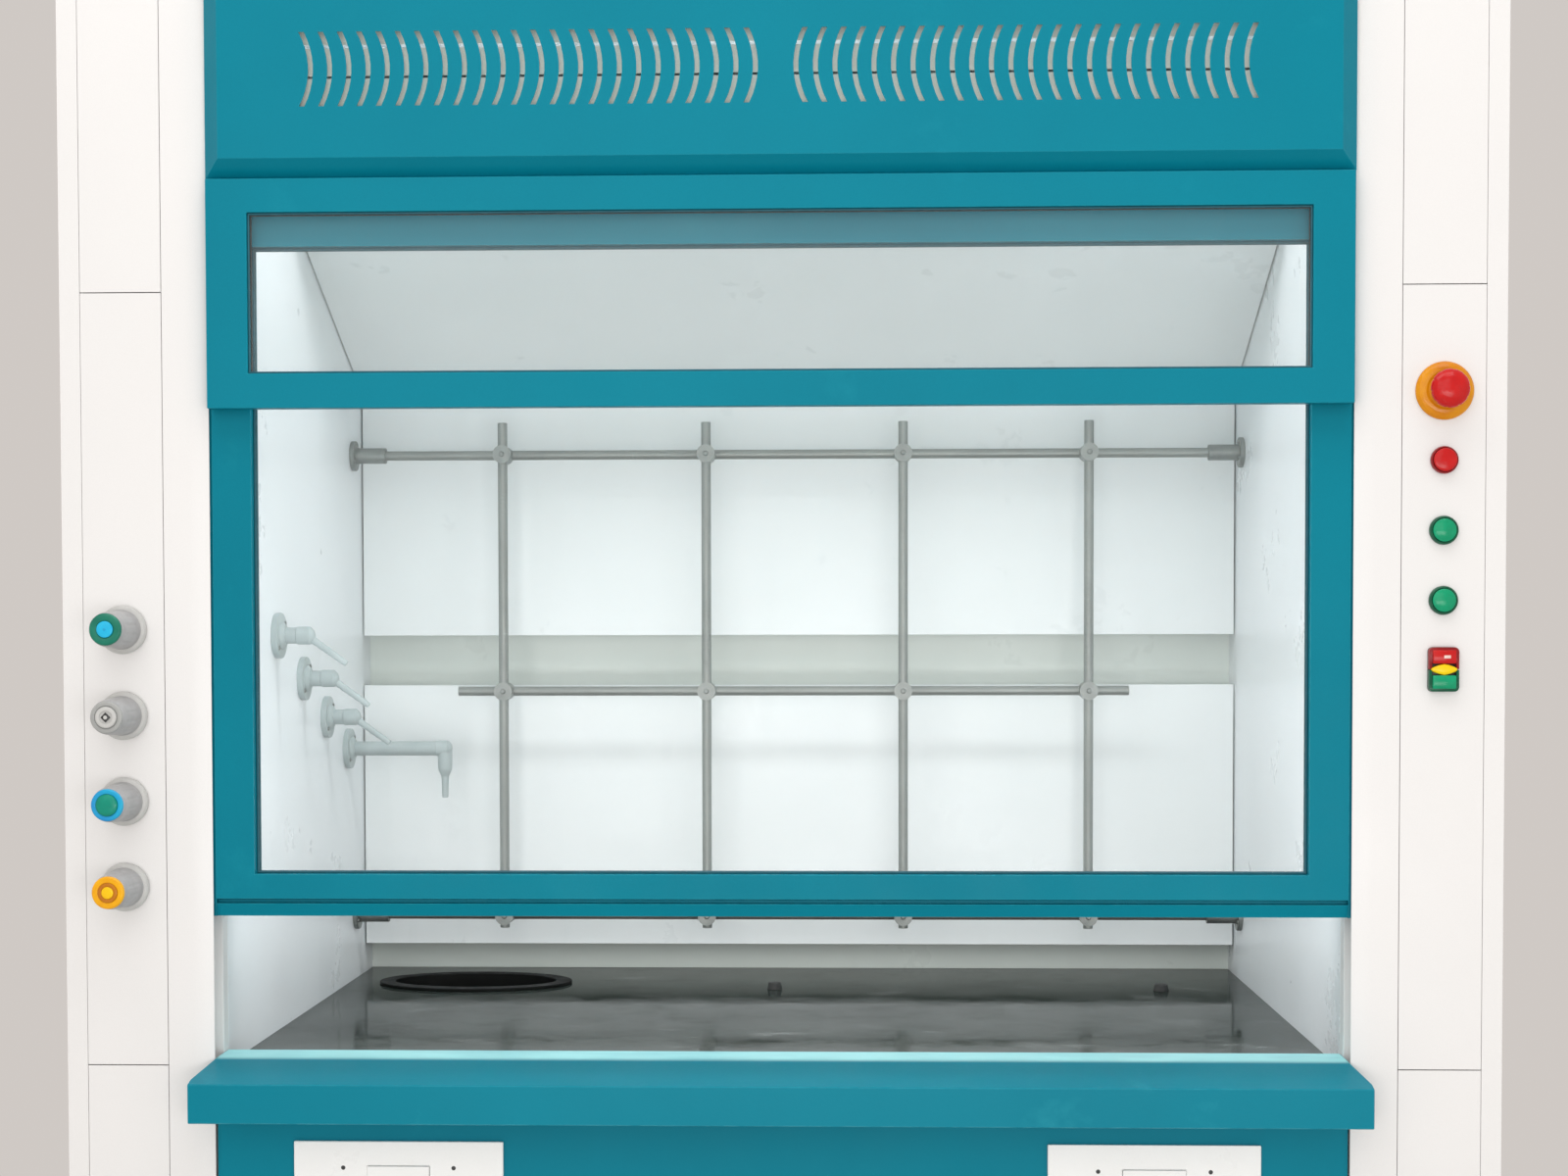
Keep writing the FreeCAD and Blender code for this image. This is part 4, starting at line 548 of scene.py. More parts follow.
def rope(bm, path, radius, sides=18):
    """Laid wire rope: a lobed section that twists along the path. All in metres."""
    rings = []
    travelled = 0.0
    normal = Vector((1, 0, 0))
    for i, place in enumerate(path):
        before = path[max(i - 1, 0)]
        after = path[min(i + 1, len(path) - 1)]
        ahead = (after - before).normalized()
        across = ahead.cross(normal).normalized()
        if i:
            travelled += (place - before).length
        twist = 2 * pi * travelled / LAY
        ring = []
        for k in range(sides):
            angle = 2 * pi * k / sides
            strand = abs(cos(STRANDS * (angle + twist) / 2))
            reach = radius * (1 - LAY_DEPTH + LAY_DEPTH * strand)
            ring.append(bm.verts.new(place + (normal * cos(angle) + across * sin(angle)) * reach))
        rings.append(ring)
    for first, second in zip(rings, rings[1:]):
        for k in range(sides):
            j = (k + 1) % sides
            bm.faces.new([first[k], first[j], second[j], second[k]])
    bm.faces.new(rings[0])
    bm.faces.new(list(reversed(rings[-1])))


def piece(name, bm, material, body, replaced=(), sharp=36.0):
    """Makes an object of the mesh, smooth but for its sharp edges, and rides it on its body."""
    bmesh.ops.recalc_face_normals(bm, faces=bm.faces)
    limit = radians(sharp)
    for face in bm.faces:
        face.smooth = True
    for edge in bm.edges:
        edge.smooth = not (edge.is_manifold and edge.calc_face_angle(0.0) > limit)
    mesh = bpy.data.meshes.new(name)
    bm.to_mesh(mesh)
    bm.free()
    mesh.materials.append(material)
    obj = bpy.data.objects.new(name, mesh)
    bpy.context.scene.collection.objects.link(obj)
    if body:
        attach(obj, body)
    if replaced:
        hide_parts(*replaced)
    return obj


SCREW_SIDES = 24


def screw_head(bm, origin, axis, radius, height, hexagon=True):
    """A socket-head screw with a six-sided recess, or a pan head with a cross slot; millimetres."""
    axis = Vector(axis).normalized()
    crown, recess, slot_width = radius * 0.18, radius * 0.52, 0.34
    shell = soften([(0, radius), (height, radius * 0.92), (height + crown, radius * 0.62)], radius * 0.3)
    top = lathe(bm, shell, origin, axis, SCREW_SIDES)[-1]
    side = axis.orthogonal().normalized()
    other = axis.cross(side)
    face_at = (height + crown) * MM
    half_side = radians(30)
    rim, floor = [], []
    for i in range(SCREW_SIDES):
        angle = 2 * pi * i / SCREW_SIDES
        if hexagon:
            wedge = half_side - abs(angle % (2 * half_side) - half_side)
            reach = recess * cos(half_side) / max(0.5, cos(half_side - wedge))
        else:
            reach = recess * (slot_width if i % (SCREW_SIDES // 4) else 1.0)
        direction = (side * cos(angle) + other * sin(angle)) * reach * MM
        rim.append(bm.verts.new(origin + axis * face_at + direction))
        floor.append(bm.verts.new(origin + axis * (face_at - height * 0.55 * MM) + direction * 0.96))
    for i in range(SCREW_SIDES):
        j = (i + 1) % SCREW_SIDES
        bm.faces.new([top[i], top[j], rim[j], rim[i]])
        bm.faces.new([rim[i], rim[j], floor[j], floor[i]])
    bm.faces.new(floor)


# ---- CAD nodes: finish and softened edges ----
WELD_GAP = 0.00001
FLAT_LIMIT, SHARP_LIMIT = radians(0.6), radians(32.0)


def dress(names, material, edge_mm, steps=2):
    """Gives CAD nodes their material and rounds their sharp edges."""
    for name in names.split():
        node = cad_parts[name]
        node.data.materials.clear()
        node.data.materials.append(material)
        weld = node.modifiers.new("Weld", "WELD")
        weld.merge_threshold = WELD_GAP
        merge = node.modifiers.new("Flat faces", "DECIMATE")
        merge.decimate_type = "DISSOLVE"
        merge.angle_limit = FLAT_LIMIT
        bevel = node.modifiers.new("Edges", "BEVEL")
        bevel.width = edge_mm * MM
        bevel.segments = steps
        bevel.limit_method = "ANGLE"
        bevel.angle_limit = SHARP_LIMIT
        bevel.use_clamp_overlap = True
        bevel.harden_normals = False
        weight = node.modifiers.new("Even normals", "WEIGHTED_NORMAL")
        weight.keep_sharp = False
        weight.weight = 80


dress("right_post left_post service_strips side_panels", white_coat, 0.7)
dress("back_panel roof_panel base_cabinet lamp_housing", white_coat, 0.7)
dress("header_panel", teal_coat, 0.35)
dress("window_frame front_fascia left_door right_door", teal_coat, 1.0, steps=3)
dress("airfoil_sill", sill_coat, 1.4, steps=3)
dress("sash_frame", teal_aluminium, 1.0, steps=3)
dress("header_backing", cream_board, 0.3)
dress("side_liners ceiling_liner", wall_liner, 0.5)
dress("back_liner", shaded_rear_liner, 0.5)
dress("upper_baffle middle_baffle lower_baffle", baffle_liner, 0.6)
dress("worktop", epoxy, 1.2, steps=3)
dress("cup_sink", black_pp, 1.2, steps=3)
dress("worktop_plugs levelling_feet", black_rubber, 0.6)
dress("sink_trap", grey_pipe, 0.8)
dress("exhaust_collar damper_blade pulley_brackets", galvanised, 0.4)
dress("front_pulleys rear_pulleys", cast_steel, 0.4)
dress("counterweight", primed_steel, 1.0)
dress("outlet_flanges gas_nozzles water_spout", grey_pp, 0.6, steps=3)
dress("valve_bodies supply_pipes", brass, 0.5)
dress("lattice_rods", brushed_steel, 0.6, steps=3)
dress("lattice_clamps lattice_flanges", cast_steel, 0.8, steps=3)
dress("socket_plates", plate_white, 1.4, steps=4)
dress("socket_inserts", plate_white, 0.5)
dress("window_glass sash_glass", window_glass, 0.4)
dress("lamp_window", lamp_glass, 0.4)
dress("lamp_tube", lamp_tube, 0.4)


# ---- valve knobs ----
FLUTE_FROM, FLUTE_TO, FLUTE_FADE = 12, 52, 6    # millimetres out of the panel
FLUTE_COUNT, FLUTE_DEPTH = 12, 0.55
SKIRT = [(1.0, 0), (1.0, 24.0), (2.2, 25.4), (6.6, 25.4), (8.2, 24.0), (8.9, 21.6), (8.9, 0)]
GRIP = [(8.6, 0), (8.6, 21.0), (11.0, 20.2), (14.0, 19.7), (24.0, 19.5), (40.0, 18.9), (52.0, 18.1),
        (56.4, 17.6), (58.2, 16.6), (58.2, 0)]
LONG_GRIP_PART = (9, 50)        # here the grip's line is cut finer, for the flutes
KNOB_STEM_RADIUS = 4.9


def flutes(angle, along):
    """Shallow finger flutes round the grip, none at its ends."""
    if not FLUTE_FROM < along < FLUTE_TO:
        return 0.0
    fade = min(1.0, (along - FLUTE_FROM) / FLUTE_FADE, (FLUTE_TO - along) / FLUTE_FADE)
    return FLUTE_DEPTH * fade * max(0.0, cos(FLUTE_COUNT * angle)) ** 2


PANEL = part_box("service_strips")[0].y


def on_panel(node):
    """The node's middle, moved to the front of the posts' cover strips."""
    centre = middle(node)
    return Vector((centre.x, PANEL, centre.z))


def turned(name, profile, origin, segments, material, body, replaced=(), lobes=None):
    """One turned piece that stands out of the panel."""
    bm = bmesh.new()
    lathe(bm, profile, origin, OUT, segments, lobes)
    piece(name, bm, material, body, replaced)


def knob(number, parts):
    """Skirt, fluted grip, stem and the coloured parts of the face.

    parts are (material, profile) pairs, in millimetres out of the panel.
    """
    node = "valve_knob_%d" % number
    body = "knob_%d" % number
    origin = on_panel(node)
    turned("knob_%d_skirt" % number, soften(SKIRT, 0.8), origin, 72, skirt_grey, body, (node,))
    steps = []
    for a, b in zip(GRIP, GRIP[1:]):
        count = 4 if LONG_GRIP_PART[0] < a[0] < LONG_GRIP_PART[1] else 1
        for i in range(count):
            steps.append((a[0] + (b[0] - a[0]) * i / count, a[1] + (b[1] - a[1]) * i / count))
    steps.append(GRIP[-1])
    grip = soften(steps, 0.7, 2)
    turned("knob_%d_grip" % number, grip, origin, 144, grip_grey, body, (), flutes)
    for index, (material, profile) in enumerate(parts):
        turned("knob_%d_cap_%d" % (number, index + 1), soften(profile, 0.45), origin, 64, material, body)
    depth = (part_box(node)[1].y - PANEL) / MM
    rod = [(1.5, 0), (1.5, KNOB_STEM_RADIUS), (-depth, KNOB_STEM_RADIUS), (-depth, 0)]
    turned("knob_%d_stem" % number, soften(rod, 0.4), origin, 32, brass, body)


# each knob's cap rings, from the rim to the middle of the face
knob(1, [
    (cap_green, [
        (57.8, 0), (57.8, 16.6), (61.0, 16.6), (62.4, 15.0), (62.4, 9.2), (61.2, 8.6), (61.2, 0),
    ]),
    (cap_cyan, [(61.0, 0), (61.0, 8.5), (62.9, 8.5), (63.6, 7.4), (63.6, 0)]),
    (cap_blue, [(63.2, 0), (63.2, 1.4), (63.9, 1.4), (63.9, 0)]),
])
knob(2, [
    (cap_grey, [
        (57.8, 0), (57.8, 16.6), (60.4, 16.6), (61.4, 15.4), (61.4, 12.2), (60.2, 11.6), (60.2, 0),
    ]),
    (skirt_grey, [
        (60.0, 0), (60.0, 11.0), (62.2, 11.0), (62.9, 10.0), (62.9, 6.8), (61.6, 6.3), (61.6, 0),
    ]),
])
knob(3, [
    (cap_blue, [
        (57.8, 0), (57.8, 16.6), (61.0, 16.6), (62.0, 15.4), (62.0, 11.8), (61.0, 11.4), (61.0, 0),
    ]),
    (cap_mint, [(60.8, 0), (60.8, 11.3), (62.6, 11.3), (63.6, 9.4), (63.9, 5.0), (63.9, 0)]),
])
knob(4, [
    (cap_yellow, [
        (57.8, 0), (57.8, 16.8), (61.2, 16.8), (62.4, 15.4), (62.4, 10.6), (61.4, 10.2), (61.4, 0),
    ]),
    (cap_orange, [
        (61.2, 0), (61.2, 10.1), (62.9, 10.1), (63.3, 9.6), (63.3, 6.8), (62.6, 6.4), (62.6, 0),
    ]),
    (cap_bright, [(62.4, 0), (62.4, 6.2), (63.4, 6.2), (63.9, 5.2), (63.9, 0)]),
])


def grey_knob_nut():
    """Square nut set on its corner in the middle of the second knob."""
    centre = on_panel("valve_knob_2")
    reach, front, back = 5.0 * MM, PANEL - 63.6 * MM, PANEL - 61.4 * MM
    bm = bmesh.new()
    corners = ((1, 0), (0, 1), (-1, 0), (0, -1))
    outline = [(centre.x + reach * across, centre.z + reach * up) for across, up in corners]
    slab(bm, outline, front, back, 0.0004)
    piece("knob_2_nut", bm, dark_plastic, "knob_2")
    pin = soften([(63.2, 0), (63.2, 2.2), (63.9, 1.9), (63.9, 0)], 0.2)
    turned("knob_2_pin", pin, centre, 32, skirt_grey, "knob_2")


grey_knob_nut()


# ---- switches ----
BARREL_LENGTH, BARREL_RADIUS, BARREL_BORE = 16, 11.0, 9.3
BARREL = [(0, BARREL_BORE), (0, BARREL_RADIUS), (-BARREL_LENGTH, BARREL_RADIUS),
          (-BARREL_LENGTH, BARREL_BORE), (0, BARREL_BORE)]
BLOCK_LOW, BLOCK_HIGH = point(-15, BARREL_LENGTH, -20), point(15, 46, 20)       # contact block


def switch_base(name, node, bezel, material, replaced=()):
    """Bezel, barrel and contact block of a round switch."""
    origin = on_panel(node)
    turned(name + "_bezel", soften(bezel, 0.5), origin, 64, material, "hood", replaced)
    bm = bmesh.new()
    lathe(bm, soften(BARREL, 0.3), origin, OUT, 40)
    box(bm, origin + BLOCK_LOW, origin + BLOCK_HIGH, 0.001)
    piece(name + "_block", bm, dark_plastic, "hood", ())


switch_base("estop", "estop_head", [
    (0.0, 14.4), (0.0, 29.4), (1.2, 30.0), (3.4, 29.6), (6.0, 27.0), (7.6, 23.4), (8.2, 20.0), (7.4, 17.4),
    (9.6, 15.4), (9.6, 9.4), (0.0, 9.4),
], ring_orange, ("switch_bodies",))
switch_base("stop", "stop_button", [
    (0.0, 9.4), (0.0, 14.2), (3.6, 14.2), (5.6, 13.6), (6.0, 12.9), (5.6, 12.3), (1.6, 12.15), (1.6, 9.4),
    (0.0, 9.4),
], rim_red)
for side in ("upper", "lower"):
    switch_base("start_" + side, side + "_start_button", [
        (0.0, 9.4), (0.0, 15.0), (2.6, 15.0), (5.2, 14.3), (6.0, 13.2), (5.6, 12.3), (1.6, 12.15), (1.6, 9.4),
        (0.0, 9.4),
    ], rim_green)


PLUNGER = [(-9.0, 0), (-9.0, 8.9)]      # the moving rod's inner end, the same in every round switch


def push_button(node, body, material, face):
    """Rod and cap of a round push-button."""
    profile = soften(PLUNGER + [(5.2, 8.9), (5.2, 11.9)] + face, 0.5)
    turned(node + "_cap", profile, on_panel(node), 64, material, body, (node,))


DOME = [(7.0, 11.9), (7.5, 11.0), (8.4, 9.0), (9.3, 6.0), (9.83, 3.0), (10.0, 0)]
push_button("stop_button", "stop_push", signal_red,
            [(7.6, 11.9), (8.5, 11.2), (9.0, 9.6), (9.5, 6.0), (9.7, 3.0), (9.8, 0)])
push_button("upper_start_button", "start_push_upper", signal_green, DOME)
push_button("lower_start_button", "start_push_lower", signal_green, DOME)


MUSHROOM = [(16.5, 5.1), (16.5, 12.6), (18.6, 16.2), (21.2, 19.2), (24.0, 20.0), (26.4, 19.7), (28.6, 18.4),
            (31.4, 15.2), (33.4, 11.0), (34.5, 6.6), (34.9, 3.0), (35.0, 0)]
RIM_FROM, RIM_TO = 19, 28       # the mushroom's rim, in millimetres out of the panel
NOTCH_COUNT, NOTCH_DEPTH = 10, 0.7


def notches(angle, along):
    """Grip notches round the mushroom's rim."""
    if not RIM_FROM < along < RIM_TO:
        return 0.0
    return NOTCH_DEPTH * max(0.0, cos(NOTCH_COUNT * angle)) ** 6


def emergency_stop():
    """Stem pin, and the mushroom head that turns on it."""
    origin = on_panel("estop_head")
    stem = soften(PLUNGER + [(16.0, 8.9), (16.0, 4.9), (25.8, 4.9), (25.8, 0)], 0.3)
    node = ("estop_plunger",)
    turned("estop_stem_pin", stem, origin, 40, dark_plastic, "estop_stem", node)
    head = soften(MUSHROOM, 1.0, 3)
    turned("estop_mushroom", head, origin, 120, signal_red, "estop_cap", ("estop_head",), notches)


emergency_stop()


TWIN_DEPTH = 8 * MM             # the double push-button's frame stands this far out
TWIN_HALF_WIDTH, TWIN_HALF_HEIGHT, TWIN_CORNER = 15.5 * MM, 23 * MM, 4.5 * MM
FRAME_BACK, FRAME_HALF_WIDTH, FRAME_SPLIT = 7.4 * MM, 15.3 * MM, 0.4 * MM
FRAME_CORNER = (10.8 * MM, 18.3 * MM)
BUTTON_HALF_WIDTH, BUTTON_GAP = 12.0 * MM, 0.25 * MM
LENS_RADIUS, LENS_HALF_WIDTH, LENS_FLATTEN, LENS_POINT = 10.4 * MM, 13.4 * MM, 0.56, 0.35
DOME_SAG, FACE_DEPTH = 0.0011, 0.0015


def twin_switch():
    """Double push-button: red above, lens in the middle, green below."""
    red_low, red_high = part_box("twin_red_button")
    green_low, green_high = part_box("twin_green_button")
    x = (red_low.x + red_high.x) / 2
    z = (red_high.z + green_low.z) / 2
    origin = Vector((x, PANEL, z))
    front = PANEL - TWIN_DEPTH
    bm = bmesh.new()
    outline = rounded_outline(x, z, TWIN_HALF_WIDTH, TWIN_HALF_HEIGHT, TWIN_CORNER)
    slab(bm, outline, front + 7.2 * MM, PANEL, 0.0003)
    box(bm, origin + BLOCK_LOW, origin + BLOCK_HIGH, 0.001)
    lathe(bm, [(0, 10.9), (-BARREL_LENGTH, 10.9)], origin, OUT, 40)
    piece("twin_base", bm, dark_plastic, "hood", ())
    for name, material, edge, sign in (
        ("twin_upper_frame", rim_red, red_high.z, 1), ("twin_lower_frame", rim_green, green_low.z, -1),
    ):
        inner = BUTTON_HALF_WIDTH + BUTTON_GAP
        inside = sign * (edge - z) + BUTTON_GAP
        outline = [(inner, FRAME_SPLIT), (inner, inside), (-inner, inside), (-inner, FRAME_SPLIT),
                   (-FRAME_HALF_WIDTH, FRAME_SPLIT)]
        for centre, start in ((-FRAME_CORNER[0], 180), (FRAME_CORNER[0], 90)):
            for step in range(7):
                angle = radians(start - 15 * step)
                outline.append((centre + TWIN_CORNER * cos(angle),
                                FRAME_CORNER[1] + TWIN_CORNER * sin(angle)))
        outline.append((FRAME_HALF_WIDTH, FRAME_SPLIT))
        bm = bmesh.new()
        slab(bm, [(x + along, z + sign * up) for along, up in outline], front, front + FRAME_BACK, 0.0005)
        piece(name, bm, material, "hood", ())
    bm = bmesh.new()
    lens = [(0.6, 0), (0.6, 10.4), (8.4, 10.4), (9.4, 9.0), (10.0, 5.0), (10.1, 0)]
    lathe(bm, soften(lens, 0.6), origin, OUT, 48)
    for vert in bm.verts:
        across = (vert.co.x - x) / LENS_RADIUS
        vert.co.x = x + across * LENS_HALF_WIDTH
        vert.co.z = z + (vert.co.z - z) * LENS_FLATTEN * (1 - LENS_POINT * abs(across))
    piece("twin_lens", bm, lens_yellow, "hood", ())
    for node, body, material, slot in (
        ("twin_red_button", "twin_push_red", signal_red, "red"),
        ("twin_green_button", "twin_push_green", signal_green, "green"),
    ):
        low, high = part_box(node)
        bm = bmesh.new()
        box(bm, low, high, 0.0012, 4)
        centre_z = (low.z + high.z) / 2
        for step in range(-6, 7):       # cuts a millimetre apart, so that the face can be domed
            everything = bm.verts[:] + bm.edges[:] + bm.faces[:]
            cut = (0, 0, centre_z + step * MM)
            bmesh.ops.bisect_plane(bm, geom=everything, plane_co=cut, plane_no=UP)
        for vert in bm.verts:
            if vert.co.y < low.y + FACE_DEPTH:
                away = (vert.co.z - centre_z) / ((high.z - low.z) / 2)
                vert.co.y += DOME_SAG * away ** 2
        piece(node + "_cap", bm, material, body, (node,))
    low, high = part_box("twin_red_button")
    bm = bmesh.new()
    corner = Vector((x, low.y, low.z))
    box(bm, corner + point(-1, -0.1, 5.4), corner + point(6, 0.8, 8.6), 0.0003)
    piece("twin_red_mark", bm, mark_pale, "twin_push_red")


twin_switch()


# ---- seals on the window and the sash ----
GLASS_IN_FRAME = 0.0082         # how far a pane reaches into its frame


def bead(name, glass_node, width, depth, material, body, front=True):
    """Rubber seal between a pane and its frame."""
    low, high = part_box(glass_node)
    bm = bmesh.new()
    y = low.y if front else high.y + depth
    bottom, top = low.z + GLASS_IN_FRAME, high.z - GLASS_IN_FRAME
    frame_ring(bm, high.x - GLASS_IN_FRAME, bottom, top, width, y - depth, y, 0.0006)
    piece(name, bm, material, body)


bead("window_seal_front", "window_glass", 0.0020, 0.0028, shaded_teal_seal, "hood")
bead("window_seal_rear", "window_glass", 0.0020, 0.0026, black_rubber, "hood", False)
bead("sash_seal_front", "sash_glass", 0.0022, 0.0024, shaded_teal_seal, "sash")
bead("sash_seal_rear", "sash_glass", 0.0022, 0.0024, shaded_teal_seal, "sash", False)


# ---- sash cables ----
SASH_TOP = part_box("sash_frame")[1].z
WEIGHT_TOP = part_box("counterweight")[1].z
CABLE_LOW, CABLE_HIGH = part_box("sash_cables")
CABLE_RADIUS, ROPE_RADIUS, PULLEY_TURN = 1.5 * MM, 1.45 * MM, 24 * MM
RUN_STEPS, TOP_STEPS, BEND_STEPS = 160, 200, 12
FERRULE = [(0, 0), (0, 5.0), (3.0, 5.0), (3.4, 3.4), (20.0, 3.2), (22.0, 2.2), (22.0, 0)]


def cables():
    """Each cable as three runs: up from the sash, over both pulleys, and down to the weight."""
    y_front = CABLE_LOW.y + CABLE_RADIUS
    y_rear = CABLE_HIGH.y - CABLE_RADIUS
    top = CABLE_HIGH.z - CABLE_RADIUS
    pulley_z = top - PULLEY_TURN

    def cable(name, path, body):
        bm = bmesh.new()
        rope(bm, path, ROPE_RADIUS)
        return piece(name, bm, wire_steel, body, (), 80.0)

    def hanging(name, x, y, end):
        """An upright run from the pulleys to the body it carries, attached to no body."""
        path = [Vector((x, y, pulley_z + (end - pulley_z) * i / RUN_STEPS)) for i in range(RUN_STEPS + 1)]
        run = cable(name, path, None)
        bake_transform(run)
        return run

    def bend(x, y, start):
        """A quarter turn over a pulley."""
        for i in range(BEND_STEPS + 1):
            angle = start - pi / 2 * i / BEND_STEPS
            yield Vector((x, y + PULLEY_TURN * cos(angle), pulley_z + PULLEY_TURN * sin(angle)))

    for side, name in ((-1, "left"), (1, "right")):
        x = side * (CABLE_HIGH.x - CABLE_RADIUS)
        run = hanging("sash_cable_" + name, x, y_front, SASH_TOP)
        if side < 0:
            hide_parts("sash_cables")
        path = list(bend(x, y_front + PULLEY_TURN, pi))
        for i in range(1, TOP_STEPS):
            along = (y_rear - y_front - 2 * PULLEY_TURN) * i / TOP_STEPS
            path.append(Vector((x, y_front + PULLEY_TURN + along, top)))
        path += bend(x, y_rear - PULLEY_TURN, pi / 2)
        cable("top_cable_" + name, path, "hood")
        hanging("weight_cable_" + name, x, y_rear, WEIGHT_TOP)
        for body, y, level in (("sash", y_front, SASH_TOP), ("weight", y_rear, WEIGHT_TOP)):
            bm = bmesh.new()
            lathe(bm, soften(FERRULE, 0.5), Vector((x, y, level)), UP, 32)
            piece("%s_ferrule_%s" % (body, name), bm, cast_steel, body)


cables()


# ---- small fasteners ----
def cluster(values, gap):
    """Groups sorted numbers that lie within gap of each other, and gives each group's middle."""
    groups = []
    for value in sorted(values):
        if groups and value - groups[-1][-1] < gap:
            groups[-1].append(value)
        else:
            groups.append([value])
    return [(g[0] + g[-1]) / 2 for g in groups]


def clamp_centres():
    """The middle of each clamp, from the clusters of its vertices."""
    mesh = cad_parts["lattice_clamps"].data
    xs = cluster({round(v.co.x, 4) for v in mesh.vertices}, 0.01)
    zs = cluster({round(v.co.z, 4) for v in mesh.vertices}, 0.01)
    return [(x, z) for z in zs for x in xs]


FLANGE_EDGE, FLANGE_FACE, FLANGE_PITCH = 0.020, 0.006, 0.0145


def add_fasteners():
    """Screws of the lattice's clamps and flanges."""
    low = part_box("lattice_clamps")[0]
    bm = bmesh.new()
    for x, z in clamp_centres():
        screw_head(bm, Vector((x, low.y + 0.0002, z)), OUT, 3.6, 2.2)
    piece("clamp_screws", bm, cast_steel, "hood")
    bm = bmesh.new()
    flange_low, flange_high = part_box("lattice_flanges")
    y = (flange_low.y + flange_high.y) / 2
    for z in (flange_low.z + FLANGE_EDGE, flange_high.z - FLANGE_EDGE):
        for side in (-1, 1):
            face = side * (flange_high.x - FLANGE_FACE)
            for angle in (90, 210, 330):
                a = radians(angle)
                place = Vector((face, y + FLANGE_PITCH * cos(a), z + FLANGE_PITCH * sin(a)))
                screw_head(bm, place, (-side, 0, 0), 2.6, 1.2)
    piece("flange_screws", bm, cast_steel, "hood")


OUTLET_SPREAD = 0.056           # vertices closer than this belong to the same outlet
OUTLET_FACE, OUTLET_PITCH = 0.007, 0.0205
COLLAR = [(6.6, 11.6), (6.6, 16.5), (8.4, 16.0), (10.2, 13.8), (11.4, 12.6), (11.4, 11.6)]


def outlet_details():
    """Collar rings and fixing screws of the four outlets on the left wall."""
    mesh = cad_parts["outlet_flanges"].data
    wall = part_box("outlet_flanges")[0].x
    groups = {}
    for v in mesh.vertices:
        for key in groups:
            if (Vector((v.co.y, v.co.z)) - Vector(key)).length < OUTLET_SPREAD:
                groups[key].append(v.co)
                break
        else:
            groups[(v.co.y, v.co.z)] = [v.co]
    places = []
    for points in groups.values():
        y = (min(p.y for p in points) + max(p.y for p in points)) / 2
        z = (min(p.z for p in points) + max(p.z for p in points)) / 2
        places.append((y, z))
    bm = bmesh.new()
    rings = bmesh.new()
    for y, z in places:
        for angle in (45, 225):
            a = radians(angle)
            across, up = OUTLET_PITCH * cos(a), OUTLET_PITCH * sin(a)
            screw_head(bm, Vector((wall + OUTLET_FACE, y + across, z + up)), (1, 0, 0), 2.8, 1.0)
        lathe(rings, soften(COLLAR, 0.5), Vector((wall, y, z)), (1, 0, 0), 48)
    piece("outlet_screws", bm, cast_steel, "hood")
    piece("outlet_collars", rings, grey_pp, "hood")


def add_turned(bm, low, high, bevel, steps, place):
    """A box made at the origin, then turned and moved into bm by the matrix place."""
    part = bmesh.new()
    box(part, low, high, bevel, steps)
    part.transform(place)
    mesh = bpy.data.meshes.new("part")
    part.to_mesh(mesh)
    part.free()
    bm.from_mesh(mesh)
    bpy.data.meshes.remove(mesh)


PLATE_SCREW = (58.5 * MM, 28 * MM)      # across from the socket's middle, and down from the plate's top
UPPER_SLOTS = (6.5 * MM, 16 * MM)       # two upright slots over the insert's middle
SLOT_NEAR, SLOT_FAR, SLOT_HALF = 0.0012, 0.0058, 1.1 * MM
LOWER_SLOTS = ((-8, -10, 30), (8, -10, -30), (0, 2, 0))     # across, up and turn (mm, degrees)


def socket_details():
    """Dark plate screws and the dark insides of the socket slots."""
    low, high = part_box("socket_plates")
    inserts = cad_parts["socket_inserts"].data
    centre_z = (low.z + high.z) / 2
    screws = bmesh.new()
    slots = bmesh.new()
    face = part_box("socket_inserts")[0].y
    near, far = face + SLOT_NEAR, face + SLOT_FAR
    for x in cluster({round(v.co.x, 4) for v in inserts.vertices}, 0.05):
        for offset in (-PLATE_SCREW[0], PLATE_SCREW[0]):
            place = Vector((x + offset, low.y + 0.0006, high.z - PLATE_SCREW[1]))
            screw_head(screws, place, OUT, 2.7, 0.5)
        z = centre_z + UPPER_SLOTS[1]
        for left in (x - UPPER_SLOTS[0] - SLOT_HALF, x + UPPER_SLOTS[0] - SLOT_HALF):
            low_corner, high_corner = (left, near, z - 3.4 * MM), (left + 2 * SLOT_HALF, far, z + 3.4 * MM)
            box(slots, low_corner, high_corner, 0.0002, 1)
        for across, up, turn in LOWER_SLOTS:
            place = Matrix.Translation((x + across * MM, 0, centre_z + up * MM))
            place @= Matrix.Rotation(radians(turn), 4, "Y")
            add_turned(slots, (-SLOT_HALF, near, -3.9 * MM), (SLOT_HALF, far, 3.9 * MM), 0.0002, 1, place)
    piece("socket_screws", screws, dark_plastic, "hood")
    piece("socket_slots", slots, dark_plastic, "hood")


DRAIN_DEPTH = 0.149             # from the sink's rim down to the strainer
STRAINER_RIM = [(0.0, 12.0), (0.0, 21.0), (1.6, 21.0), (2.2, 19.0), (1.2, 12.0), (0.0, 12.0)]
STRAINER_HUB = [(0.0, 0), (0.0, 4.0), (1.6, 4.0), (2.0, 3.0), (2.0, 0)]


